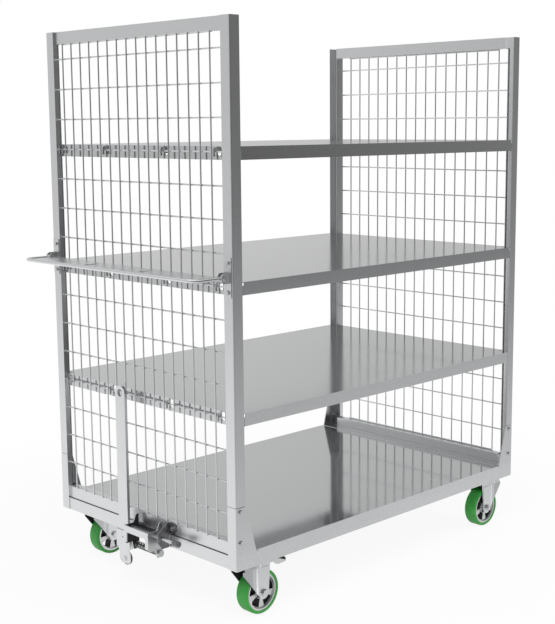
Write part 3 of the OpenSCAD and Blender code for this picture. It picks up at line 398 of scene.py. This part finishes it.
def shelf_zinc_material(name, relief_strength, **finish):
    """Rolled zinc plate whose top carries painted shade, darker than its folded edges."""
    material, tree, shader, coords = start_material(name)
    colour, roughness, relief = zinc_nodes(tree, coords, **finish)
    place = split_axes(tree, coords)
    outward = math_node(tree, "ABSOLUTE", place["Y"])
    # Painted shade: the top, away from the folded lips, is mixed towards a darker grey
    top_shade = map_range(tree, outward, POST_SIDE - LIP_SKIN[0], POST_SIDE - LIP_SKIN[1], TOP_SHADE_SHARE, 0.0)
    leave_bare(tree, shader, mix_colour(tree, top_shade, colour, TOP_SHADE_COLOUR), roughness)
    add_bump(tree, shader, relief, relief_strength, RELIEF_DEPTH)
    return material


def dusty_zinc(name, relief_strength, dusty, **finish):
    """Zinc with some road dust low down."""
    material, tree, shader, coords = start_material(name)
    colour, roughness, relief = zinc_nodes(tree, coords, **finish)
    dust = place_group(tree, DUST, Height=0.55, Amount=dusty)
    tree.links.new(coords, dust.inputs["Vector"])
    lay_dust_and_shade(tree, shader, dust.outputs["Mask"], DUST_COLOUR, colour, roughness, DUST_LOSS, DUST_DULLING)
    add_bump(tree, shader, relief, relief_strength, RELIEF_DEPTH)
    return material


def fork_material(name, **finish):
    """Pressed zinc with painted shade and a painted highlight: the front of each leg darker, the inside of each leg
    near-black, a bright stripe along the fold.
    """
    material, tree, shader, coords = start_material(name)
    colour, roughness, relief = zinc_nodes(tree, coords, **finish)
    place = split_axes(tree, coords)
    # Painted shade: the inner faces of the legs, beside the wheel, turn near-black and less metallic
    side = math_node(tree, "SUBTRACT", math_node(tree, "ABSOLUTE", place["Y"]), CASTER_Y)
    inside = map_range(tree, math_node(tree, "ABSOLUTE", side), FORK_INSIDE, FORK_INSIDE + FORK_SKIN, 1.0, 0.0)
    middle = (SWIVEL_TOW + SWIVEL_FAR) / 2
    reach = math_node(tree, "ABSOLUTE", math_node(tree, "SUBTRACT", place["X"], middle))
    behind = math_node(tree, "SUBTRACT", (SWIVEL_FAR - SWIVEL_TOW) / 2, reach)
    # Painted shade: the front of each leg, ahead of the fold, is mixed towards a darker grey
    ahead = map_range(tree, behind, *FORK_SHADE, 1.0, 0.0)
    shaded = mix_colour(tree, ahead, colour, FORK_FRONT_SHADE_COLOUR)
    # Painted highlight: a bright, less metallic stripe along the fold on the outer faces of the legs
    rising = map_range(tree, behind, *HIGHLIGHT_RISE, 0.0, 1.0)
    falling = map_range(tree, behind, *HIGHLIGHT_FALL, 1.0, 0.0)
    outside = math_node(tree, "SUBTRACT", 1.0, inside)
    wear_and_highlight = math_node(tree, "MULTIPLY", outside, math_node(tree, "MULTIPLY", rising, falling))
    mask = math_node(tree, "MAXIMUM", inside, wear_and_highlight)
    # This cover is painted light, not a coat: near-black painted shade inside the legs and a bright painted highlight
    # on the fold
    film = mix_colour(tree, wear_and_highlight, PAINTED_SHADE_COLOUR, FOLD_HIGHLIGHT_COLOUR)
    lay_dust_and_shade(tree, shader, mask, film, shaded, roughness, SHADE_METAL_LOSS, SHADE_DULLING)
    add_bump(tree, shader, relief, SHEET_RELIEF, RELIEF_DEPTH)
    return material


def housing_material(name, **finish):
    """Folded zinc sheet with painted shade inside the coupling, where its inner faces go near-black and less metallic.
    """
    material, tree, shader, coords = start_material(name)
    colour, roughness, relief = zinc_nodes(tree, coords, **finish)
    place = split_axes(tree, coords)
    low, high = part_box("coupling_housing")
    skin = 0.8 * CHEEK_T
    behind = map_range(tree, place["X"], low[0] + skin, low[0] + CHEEK_T, 0.0, 1.0)
    left = map_range(tree, place["Y"], low[1] + skin, low[1] + CHEEK_T, 0.0, 1.0)
    right = map_range(tree, place["Y"], high[1] - CHEEK_T, high[1] - skin, 1.0, 0.0)
    # Painted shade: the inside of the housing, between its cheeks and behind its front, is darkened where shade falls
    inside = math_node(tree, "MULTIPLY", behind, math_node(tree, "MULTIPLY", left, right))
    lay_dust_and_shade(tree, shader, inside, PAINTED_SHADE_COLOUR, colour, roughness, SHADE_METAL_LOSS, SHADE_DULLING)
    add_bump(tree, shader, relief, SHEET_RELIEF, RELIEF_DEPTH)
    return material


def cast_rim_material():
    """Cast light alloy with a fine skin and painted shade, near-black, in the windows between its spokes."""
    material, tree, shader, coords = start_material("cast_rim")
    skin = add_node(tree, "ShaderNodeTexNoise", Scale=420.0, Detail=3.0)
    tree.links.new(coords, skin.inputs["Vector"])
    dust = place_group(tree, DUST, Height=0.20, Amount=0.22)
    tree.links.new(coords, dust.inputs["Vector"])
    alloy = mix_colour(tree, map_range(tree, skin.outputs["Fac"], 0.35, 0.65, 0.0, 1.0),
                       ALLOY_DARK, ALLOY_LIGHT)
    dusty = mix_colour(tree, dust.outputs["Mask"], alloy, DUST_COLOUR)
    place = split_axes(tree, coords)
    side = math_node(tree, "SUBTRACT", math_node(tree, "ABSOLUTE", place["Y"]), CASTER_Y)
    depth = math_node(tree, "ABSOLUTE", side)
    # Painted shade: faces within the web's depth, in the spoke windows, are darkened
    window = map_range(tree, depth, WEB_HALF - WINDOW_SKIN[0], WEB_HALF - WINDOW_SKIN[1], 1.0, 0.0)
    smooth = map_range(tree, skin.outputs["Fac"], 0.3, 0.7, 0.30, 0.42)
    lay_dust_and_shade(tree, shader, window, PAINTED_SHADE_COLOUR, dusty, smooth, RIM_SHADE_METAL_LOSS, SHADE_DULLING)
    add_bump(tree, shader, skin.outputs["Fac"], 0.12, FINE_DEPTH)
    return material


def green_tread_material():
    """Smooth green elastomer, a little duller and dusty where it rolls."""
    material, tree, shader, coords = start_material("green_tread")
    clouds = add_node(tree, "ShaderNodeTexNoise", Scale=34.0, Detail=4.0)
    pores = add_node(tree, "ShaderNodeTexNoise", Scale=900.0, Detail=2.0)
    for noise in (clouds, pores):
        tree.links.new(coords, noise.inputs["Vector"])
    dust = place_group(tree, DUST, Height=0.16, Amount=0.05)
    tree.links.new(coords, dust.inputs["Vector"])
    green = mix_colour(tree, map_range(tree, clouds.outputs["Fac"], 0.35, 0.65, 0.0, 1.0),
                       GREEN_DARK, GREEN_LIGHT)
    tree.links.new(mix_colour(tree, dust.outputs["Mask"], green, DUST_COLOUR), shader.inputs["Base Color"])
    tree.links.new(map_range(tree, clouds.outputs["Fac"], 0.3, 0.7, 0.38, 0.52), shader.inputs["Roughness"])
    add_bump(tree, shader, pores.outputs["Fac"], 0.10, FINE_DEPTH)
    return material


def black_rubber_material(name, colour, rough):
    """Moulded black rubber or plastic with a fine texture and pale wear."""
    material, tree, shader, coords = start_material(name)
    grain = add_node(tree, "ShaderNodeTexNoise", Scale=700.0, Detail=3.0)
    rub = add_node(tree, "ShaderNodeTexNoise", Scale=60.0, Detail=4.0)
    for noise in (grain, rub):
        tree.links.new(coords, noise.inputs["Vector"])
    wear_and_highlight = tuple(3.0 * c + 0.01 for c in colour)
    tree.links.new(mix_colour(tree, map_range(tree, rub.outputs["Fac"], 0.52, 0.72, 0.0, 0.6), colour, wear_and_highlight),
                   shader.inputs["Base Color"])
    tree.links.new(map_range(tree, rub.outputs["Fac"], 0.3, 0.7, rough - 0.08, rough + 0.08),
                   shader.inputs["Roughness"])
    add_bump(tree, shader, grain.outputs["Fac"], 0.25, RELIEF_DEPTH)
    return material


def dark_steel_material(name, colour, rough):
    """Oiled or phosphated steel with a blotchy film."""
    material, tree, shader, coords = start_material(name)
    film = add_node(tree, "ShaderNodeTexNoise", Scale=110.0, Detail=4.0)
    tree.links.new(coords, film.inputs["Vector"])
    light = tuple(1.5 * c for c in colour)
    tree.links.new(mix_colour(tree, map_range(tree, film.outputs["Fac"], 0.35, 0.65, 0.0, 1.0), colour, light),
                   shader.inputs["Base Color"])
    tree.links.new(map_range(tree, film.outputs["Fac"], 0.3, 0.7, rough - 0.08, rough + 0.08),
                   shader.inputs["Roughness"])
    shader.inputs["Metallic"].default_value = 1.0
    add_bump(tree, shader, film.outputs["Fac"], 0.10, FINE_DEPTH)
    return material


UPRIGHT_GRAIN = (8.0, 8.0, 0.35)
LENGTHWISE_GRAIN = (0.30, 8.0, 8.0)
CROSSWISE_GRAIN = (8.0, 0.35, 8.0)
EVEN_GRAIN = (4.0, 4.0, 4.0)

BRIGHT_ZINC = (0.766, 0.774, 0.782)
SOFT_ZINC = (0.748, 0.756, 0.764)
DARK_ZINC = (0.705, 0.713, 0.721)
PANEL = dict(bright=BRIGHT_ZINC, dull=SOFT_ZINC, rough=0.33, rough_span=0.012, scuffed=0.06)
PRESSED = dict(bright=BRIGHT_ZINC, dull=SOFT_ZINC, rough=0.30, rough_span=0.01, stretch=EVEN_GRAIN, scuffed=0.02)
MIRROR = dict(bright=SOFT_ZINC, dull=DARK_ZINC, rough_span=0.010, stretch=LENGTHWISE_GRAIN, scuffed=0.10)
DRAWN = dict(bright=BRIGHT_ZINC, dull=SOFT_ZINC, rough=0.24, rough_span=0.01, stretch=EVEN_GRAIN, scuffed=0.02)
POLISHED = dict(bright=BRIGHT_ZINC, dull=SOFT_ZINC, rough=0.10, rough_span=0.01, stretch=EVEN_GRAIN, scuffed=0.02)
TURNED = dict(bright=SOFT_ZINC, dull=DARK_ZINC, rough=0.30, rough_span=0.04, stretch=EVEN_GRAIN, scuffed=0.12)

post_zinc = dusty_zinc("post_zinc", SHEET_RELIEF, 0.02, stretch=UPRIGHT_GRAIN, **PANEL)
bar_zinc = dusty_zinc("bar_zinc", SHEET_RELIEF, 0.02, stretch=CROSSWISE_GRAIN, **PANEL)
base_zinc = dusty_zinc("base_zinc", SHEET_RELIEF, 0.02, stretch=LENGTHWISE_GRAIN, **PANEL)
pressed_zinc = dusty_zinc("pressed_zinc", 0.02, 0.02, **PRESSED)
bolt_zinc = dusty_zinc("bolt_zinc", 0.05, 0.03, **TURNED)
shelf_zinc = shelf_zinc_material("shelf_zinc", 0.02, rough=0.14, **MIRROR)
deck_zinc = shelf_zinc_material("deck_zinc", 0.015, rough=0.09, **MIRROR)
tray_zinc = clean_zinc("tray_zinc", 0.02, stretch=CROSSWISE_GRAIN, **PANEL)
wire_zinc = clean_zinc("wire_zinc", 0.01, **DRAWN)
rod_zinc = clean_zinc("rod_zinc", 0.01, **POLISHED)
fork_zinc = fork_material("fork_zinc", **PRESSED)
housing_zinc = housing_material("housing_zinc", stretch=CROSSWISE_GRAIN, **PANEL)
cast_rim = cast_rim_material()
green_tread = green_tread_material()
pedal_rubber = black_rubber_material("pedal_rubber", PEDAL_BLACK, 0.60)
roller_plastic = black_rubber_material("roller_plastic", ROLLER_BLACK, 0.45)
dark_steel = dark_steel_material("dark_steel", STEEL_GREY, 0.38)

FINISHES = {
    "post_tow_front": post_zinc, "post_tow_back": post_zinc, "post_far_front": post_zinc, "post_far_back": post_zinc,
    "corner_shoes": post_zinc, "drawbar": post_zinc, "top_bar_tow": bar_zinc, "top_bar_far": bar_zinc,
    "bottom_rail_tow": bar_zinc, "bottom_rail_far": bar_zinc, "base_frame": base_zinc, "deck_plate": deck_zinc,
    "shelf_lower": shelf_zinc, "shelf_middle": shelf_zinc, "shelf_upper": shelf_zinc, "tray_plate": tray_zinc,
    "coupling_housing": housing_zinc, "lock_guide": dark_steel, "mesh_tow": wire_zinc, "mesh_far": wire_zinc,
    "tray_rod": rod_zinc, "tray_brackets": pressed_zinc, "caster_plates": pressed_zinc,
    "brake_lever_front": pressed_zinc, "brake_lever_back": pressed_zinc, "brake_pad_front": pedal_rubber,
    "brake_pad_back": pedal_rubber, "lift_spring": dark_steel, "lock_knob": dark_steel, "guide_roller": roller_plastic,
}
FAMILIES = {"fork": fork_zinc, "rim": cast_rim, "tyre": green_tread, "bearings": dark_steel}

for name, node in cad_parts.items():
    finish = FINISHES.get(name) or FAMILIES.get(name.split("_")[0]) or bolt_zinc
    for slot in node.material_slots:
        slot.material = finish


# Added pieces

def select_points(piece, chosen):
    """Selects the points of a piece that a test picks, and leaves it in edit mode."""
    bpy.ops.object.mode_set(mode="EDIT")
    bpy.ops.mesh.select_mode(type="VERT")
    bpy.ops.mesh.select_all(action="DESELECT")
    bpy.ops.object.mode_set(mode="OBJECT")
    for point in piece.data.vertices:
        point.select = chosen(point.co)
    bpy.ops.object.mode_set(mode="EDIT")


def settle(piece, name, finish):
    """Puts a piece's place into its mesh, names it and gives it its finish."""
    bpy.ops.object.mode_set(mode="OBJECT")
    bpy.ops.object.select_all(action="DESELECT")
    piece.select_set(True)
    bpy.context.view_layer.objects.active = piece
    bpy.ops.object.transform_apply(location=True, rotation=True, scale=True)
    bpy.ops.object.shade_smooth_by_angle(angle=SMOOTH_ANGLE)
    piece.name = name
    piece.data.name = name
    piece.data.materials.clear()
    piece.data.materials.append(finish)
    return piece


def copy_piece(piece, name, move):
    """A copy of a piece with its own mesh, moved or turned by a matrix."""
    twin = piece.copy()
    twin.data = piece.data.copy()
    twin.name = name
    twin.data.name = name
    twin.data.transform(move)
    bpy.context.collection.objects.link(twin)
    return twin


def model_tread(axle):
    """A tread: its section with two round shoulders, spun round the axle."""
    thick = WHEEL_R - RIM_R
    section = Vector(axle) + Vector((RIM_R + thick / 2, 0.0, 0.0))
    bpy.ops.object.select_all(action="DESELECT")
    bpy.ops.mesh.primitive_plane_add(size=1.0, location=section)
    tread = bpy.context.object
    bpy.ops.object.mode_set(mode="EDIT")
    bpy.ops.transform.resize(value=(thick, WHEEL_W, 1.0), center_override=section)
    select_points(tread, lambda place: place.x > 0.0)
    bpy.ops.mesh.bevel(offset=TREAD_SHOULDER, segments=SHOULDER_STEPS, profile=0.5, affect="VERTICES")
    bpy.ops.mesh.select_all(action="SELECT")
    bpy.ops.mesh.delete(type="ONLY_FACE")
    bpy.ops.mesh.select_all(action="SELECT")
    bpy.ops.mesh.spin(steps=TREAD_STEPS, angle=math.tau, center=axle, axis=(0.0, 1.0, 0.0))
    bpy.ops.mesh.select_all(action="SELECT")
    bpy.ops.mesh.remove_doubles(threshold=MERGE_GAP)
    bpy.ops.mesh.normals_make_consistent(inside=False)
    return settle(tread, "tread_tow_front", green_tread)


def add_treads():
    """The four green treads, each on its wheel."""
    axle_tow = SWIVEL_TOW + TRAIL
    axle_far = SWIVEL_FAR - TRAIL
    first = model_tread((axle_tow, -CASTER_Y, WHEEL_R))
    across = Vector((0.0, 2 * CASTER_Y, 0.0))
    along = Vector((axle_far - axle_tow, 0.0, 0.0))
    treads = {
        "tow_front": first,
        "tow_back": copy_piece(first, "tread_tow_back", Matrix.Translation(across)),
        "far_front": copy_piece(first, "tread_far_front", Matrix.Translation(along)),
        "far_back": copy_piece(first, "tread_far_back", Matrix.Translation(across + along)),
    }
    for corner, tread in treads.items():
        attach(tread, "wheel_" + corner)
        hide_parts("tyre_" + corner)


def weld_grid(start, columns, pitch_y, rows, pitch_z):
    """Small flattened weld nuggets in columns and rows, from one corner."""
    bpy.ops.object.select_all(action="DESELECT")
    bpy.ops.mesh.primitive_ico_sphere_add(subdivisions=1, radius=NUGGET_R, location=start)
    nugget = bpy.context.object
    bpy.ops.object.mode_set(mode="EDIT")
    bpy.ops.transform.resize(value=NUGGET_SHAPE, center_override=start)
    bpy.ops.object.mode_set(mode="OBJECT")
    for count, step in ((columns, (0.0, pitch_y, 0.0)), (rows, (0.0, 0.0, pitch_z))):
        repeat = nugget.modifiers.new("repeat", "ARRAY")
        repeat.count = count
        repeat.use_relative_offset = False
        repeat.use_constant_offset = True
        repeat.constant_offset_displace = step
        bpy.ops.object.modifier_apply(modifier=repeat.name)
    return nugget


def add_mesh_welds(name, wire_x):
    """The welds of an end panel's mesh: at its crossings, along its borders and at the posts."""
    half = MESH_PITCH_Y * (MESH_COLUMNS - 1) / 2
    tall = MESH_BORDER_HIGH - MESH_BORDER_LOW
    grids = [
        weld_grid((wire_x, -half, MESH_LOW), MESH_COLUMNS, MESH_PITCH_Y, MESH_ROWS, MESH_PITCH_Z),
        weld_grid((wire_x, -half, MESH_BORDER_LOW), MESH_COLUMNS, MESH_PITCH_Y, 2, tall),
        weld_grid((wire_x, -MESH_SIDE, MESH_LOW), 2, 2 * MESH_SIDE, MESH_ROWS, MESH_PITCH_Z),
    ]
    bpy.ops.object.select_all(action="DESELECT")
    for grid in grids:
        grid.select_set(True)
    bpy.context.view_layer.objects.active = grids[0]
    bpy.ops.object.join()
    welds = settle(grids[0], name, wire_zinc)
    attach(welds, "container")


def start_sheet(low, high):
    """A flat sheet between two corners, left in edit mode with all of it selected."""
    middle = (Vector(low) + Vector(high)) / 2
    bpy.ops.object.select_all(action="DESELECT")
    bpy.ops.mesh.primitive_cube_add(size=1.0, location=middle)
    bpy.ops.object.mode_set(mode="EDIT")
    bpy.ops.transform.resize(value=Vector(high) - Vector(low), center_override=middle)
    return bpy.context.object


def pick_faces(piece, chosen):
    """Selects the faces of a piece in edit mode that a test of place and normal picks."""
    bpy.ops.mesh.select_all(action="DESELECT")
    bpy.ops.mesh.select_mode(type="FACE")
    bpy.ops.object.mode_set(mode="OBJECT")
    for face in piece.data.polygons:
        face.select = chosen(piece.matrix_world @ face.center, face.normal)
    bpy.ops.object.mode_set(mode="EDIT")


def round_edges(piece, radius):
    """Rounds a sheet's edges with a bevel and applies it."""
    bpy.ops.object.mode_set(mode="OBJECT")
    bevel = piece.modifiers.new("round", "BEVEL")
    bevel.width = radius
    bevel.segments = ROUND_STEPS
    bpy.ops.object.modifier_apply(modifier=bevel.name)


def model_edge_fold():
    """The far front post's turned-in edge, with a head and a foot that close the ends of the bar and the rail."""
    face = FAR_FACE - POST_D
    low = (face - FOLD_PROUD, -POST_SIDE + SHEET_T + FOLD_PROUD, RAIL_LOW)
    high = (face + SHEET_T, -POST_SIDE + EDGE_FOLD, PANEL_TOP - FOLD_PROUD)
    fold = start_sheet(low, high)
    for height in (RAIL_HIGH, POST_LOW, BAR_LOW):
        bpy.ops.mesh.select_all(action="SELECT")
        bpy.ops.mesh.bisect(plane_co=(face, -POST_SIDE, height), plane_no=(0.0, 0.0, 1.0))
    pick_faces(fold, lambda place, normal: normal.y > FACING and not RAIL_HIGH < place.z < BAR_LOW)
    reach = POST_SIDE - POST_INSIDE - EDGE_FOLD
    bpy.ops.mesh.extrude_region_move(TRANSFORM_OT_translate={"value": (0.0, reach, 0.0)})
    pick_faces(fold, lambda place, normal: normal.y < -FACING and place.z > POST_LOW)
    bpy.ops.mesh.extrude_region_move(TRANSFORM_OT_translate={"value": (0.0, -SHEET_T, 0.0)})
    round_edges(fold, EDGE_ROUND)
    return settle(fold, "edge_fold_far_front", post_zinc)


def model_deep_flange():
    """The far back post's inner flange, from the panel's wires to the post's full depth."""
    face = FAR_FACE - POST_D
    flange = start_sheet((face, POST_INSIDE, POST_LOW), (FAR_FACE - POST_LIP, POST_INSIDE + SHEET_T, PANEL_TOP))
    pick_faces(flange, lambda place, normal: normal.x < -FACING)
    bpy.ops.mesh.bevel(offset=EDGE_ROUND, segments=ROUND_STEPS, affect="EDGES")
    return settle(flange, "deep_flange_far_back", post_zinc)


def add_post_folds():
    """The folds of the far posts, and the same turned half round for the posts of the drawbar end."""
    middle = Vector(((TOW_FACE + FAR_FACE) / 2, 0.0, 0.0))
    half_turn = Matrix.Translation(middle) @ Matrix.Rotation(math.pi, 4, "Z") @ Matrix.Translation(-middle)
    fold = model_edge_fold()
    flange = model_deep_flange()
    turned_fold = copy_piece(fold, "edge_fold_tow_back", half_turn)
    turned_flange = copy_piece(flange, "deep_flange_tow_front", half_turn)
    for piece in (fold, flange, turned_fold, turned_flange):
        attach(piece, "container")


def add_lock_spring():
    """The spring that pushes the locking pin home, a wire wound round the pin inside the housing."""
    bpy.ops.object.select_all(action="DESELECT")
    start = (LOCK_X, COIL_START, LOCK_Z)
    upright = (0.0, math.pi / 2, 0.0)
    bpy.ops.mesh.primitive_circle_add(vertices=COIL_SIDES, radius=COIL_WIRE / 2, location=start, rotation=upright)
    spring = bpy.context.object
    bpy.ops.object.transform_apply(location=False, rotation=True, scale=False)
    bpy.ops.object.mode_set(mode="EDIT")
    bpy.ops.transform.translate(value=(0.0, 0.0, COIL_R))
    bpy.ops.object.mode_set(mode="OBJECT")
    coil = spring.modifiers.new("coil", "SCREW")
    coil.axis = "Y"
    coil.angle = math.tau
    coil.screw_offset = COIL_PITCH
    coil.iterations = COIL_TURNS
    coil.steps = COIL_STEPS
    coil.render_steps = COIL_STEPS
    bpy.ops.object.modifier_apply(modifier=coil.name)
    bpy.ops.object.mode_set(mode="EDIT")
    bpy.ops.mesh.select_all(action="SELECT")
    bpy.ops.mesh.remove_doubles(threshold=MERGE_GAP)
    bpy.ops.mesh.fill_holes(sides=COIL_SIDES)
    bpy.ops.mesh.normals_make_consistent(inside=False)
    settle(spring, "lock_spring", dark_steel)
    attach(spring, "container")


add_treads()
add_post_folds()
add_lock_spring()
add_mesh_welds("mesh_welds_tow", TOW_FACE + WELD_DEPTH)
add_mesh_welds("mesh_welds_far", FAR_FACE - WELD_DEPTH)


# Studio

def make_world():
    """White to the camera and in reflections, and a soft even light on matt surfaces."""
    world = bpy.data.worlds.new("studio")
    bpy.context.scene.world = world
    world.use_nodes = True
    tree = world.node_tree
    tree.nodes.clear()
    white = add_node(tree, "ShaderNodeBackground", Color=(1.0, 1.0, 1.0, 1.0), Strength=1.0)
    soft = add_node(tree, "ShaderNodeBackground", Color=(0.96, 0.98, 1.0, 1.0), Strength=0.62)
    path = tree.nodes.new("ShaderNodeLightPath")
    seen = math_node(tree, "MAXIMUM", path.outputs["Is Camera Ray"], path.outputs["Is Glossy Ray"])
    clear = math_node(tree, "MAXIMUM", seen, path.outputs["Is Transmission Ray"])
    mixed = tree.nodes.new("ShaderNodeMixShader")
    tree.links.new(clear, mixed.inputs[0])
    tree.links.new(soft.outputs[0], mixed.inputs[1])
    tree.links.new(white.outputs[0], mixed.inputs[2])
    output = tree.nodes.new("ShaderNodeOutputWorld")
    tree.links.new(mixed.outputs[0], output.inputs["Surface"])


def make_surround():
    """A ring of graded studio cards that only reflections see."""
    bpy.ops.object.select_all(action="DESELECT")
    bpy.ops.mesh.primitive_uv_sphere_add(segments=64, ring_count=32, radius=SURROUND_RADIUS)
    bpy.ops.object.mode_set(mode="EDIT")
    bpy.ops.mesh.select_all(action="SELECT")
    bpy.ops.mesh.bisect(plane_co=(0.0, 0.0, 0.0), plane_no=(0.0, 0.0, 1.0), clear_inner=True)
    bpy.ops.object.mode_set(mode="OBJECT")
    cards = bpy.context.object
    cards.name = "studio_cards"
    cards.visible_camera = False
    cards.visible_diffuse = False
    cards.visible_transmission = False
    cards.visible_shadow = False
    material = bpy.data.materials.new("studio_cards")
    material.use_nodes = True
    tree = material.node_tree
    tree.nodes.clear()
    coords = tree.nodes.new("ShaderNodeTexCoord").outputs["Object"]
    place = split_axes(tree, coords)
    wall = map_range(tree, place["Y"], -CARD_EDGE, CARD_EDGE, CARD_FRONT, CARD_BACK, "LINEAR")
    overhead = map_range(tree, place["Z"], GLOW_LOW, GLOW_HIGH, 0.0, GLOW_LEVEL)
    glow = add_node(tree, "ShaderNodeEmission", Strength=1.0)
    tree.links.new(math_node(tree, "ADD", wall, overhead), glow.inputs["Color"])
    output = tree.nodes.new("ShaderNodeOutputMaterial")
    tree.links.new(glow.outputs[0], output.inputs["Surface"])
    cards.data.materials.append(material)


def make_floor():
    """A wide pale floor that keeps a light shadow and blends into the white surround."""
    bpy.ops.object.select_all(action="DESELECT")
    level = (0.0, 0.0, -FLOOR_DROP)
    bpy.ops.mesh.primitive_circle_add(vertices=96, radius=FLOOR_RADIUS, fill_type="NGON", location=level)
    floor = bpy.context.object
    floor.name = "studio_floor"
    material = bpy.data.materials.new("studio_floor")
    material.use_nodes = True
    tree = material.node_tree
    tree.nodes.clear()
    coords = tree.nodes.new("ShaderNodeTexCoord").outputs["Object"]
    path = tree.nodes.new("ShaderNodeLightPath")
    matt = add_node(tree, "ShaderNodeBsdfDiffuse", Color=(0.86, 0.86, 0.86, 1.0))
    white = add_node(tree, "ShaderNodeEmission", Color=(1.0, 1.0, 1.0, 1.0), Strength=1.0)
    mirrored = add_node(tree, "ShaderNodeEmission", Strength=1.0)
    length = add_node(tree, "ShaderNodeVectorMath", operation="LENGTH")
    tree.links.new(coords, length.inputs[0])
    distance = length.outputs["Value"]
    place = split_axes(tree, coords)
    backward = math_node(tree, "MULTIPLY", math_node(tree, "DIVIDE", place["Y"], distance), FLOOR_BACKWARD)
    fall = math_node(tree, "MULTIPLY", math_node(tree, "LOGARITHM", distance, math.e), FLOOR_FALL)
    grey = math_node(tree, "ADD", math_node(tree, "ADD", backward, fall), FLOOR_NEAR, clamp=True)
    tree.links.new(grey, mirrored.inputs["Color"])
    fade = map_range(tree, distance, SHADOW_NEAR, SHADOW_FAR, SHADOW_WHITE, 1.0)
    seen = tree.nodes.new("ShaderNodeMixShader")
    tree.links.new(math_node(tree, "MULTIPLY", path.outputs["Is Camera Ray"], fade), seen.inputs[0])
    tree.links.new(matt.outputs[0], seen.inputs[1])
    tree.links.new(white.outputs[0], seen.inputs[2])
    reflected = tree.nodes.new("ShaderNodeMixShader")
    tree.links.new(math_node(tree, "MULTIPLY", path.outputs["Is Glossy Ray"], FLOOR_MIRRORED), reflected.inputs[0])
    tree.links.new(seen.outputs[0], reflected.inputs[1])
    tree.links.new(mirrored.outputs[0], reflected.inputs[2])
    output = tree.nodes.new("ShaderNodeOutputMaterial")
    tree.links.new(reflected.outputs[0], output.inputs["Surface"])
    floor.data.materials.append(material)


def add_softbox(name, place, target, size, power):
    """A large square lamp that faces a point and leaves reflections to the cards."""
    data = bpy.data.lights.new(name, "AREA")
    data.shape = "SQUARE"
    data.size = size
    data.energy = power
    lamp = bpy.data.objects.new(name, data)
    lamp.visible_glossy = False
    bpy.context.collection.objects.link(lamp)
    aim = Vector(target) - Vector(place)
    lamp.location = place
    lamp.rotation_euler = aim.to_track_quat("-Z", "Y").to_euler()


def make_camera():
    """The photograph's viewpoint."""
    data = bpy.data.cameras.new("camera")
    data.lens = CAMERA_LENS
    data.sensor_width = SENSOR_WIDTH
    data.shift_x, data.shift_y = CAMERA_SHIFT
    data.clip_end = CLIP_END
    camera = bpy.data.objects.new("camera", data)
    bpy.context.collection.objects.link(camera)
    columns = (Vector(CAMERA_RIGHT), Vector(CAMERA_UP), -Vector(CAMERA_AHEAD))
    turn = Matrix(columns).transposed()
    camera.matrix_world = Matrix.Translation(CAMERA_PLACE) @ turn.to_4x4()
    bpy.context.scene.camera = camera


make_world()
make_surround()
make_floor()
add_softbox("key_softbox", **KEY_LAMP)
add_softbox("fill_softbox", **FILL_LAMP)
make_camera()
bpy.context.scene.view_settings.view_transform = "Standard"
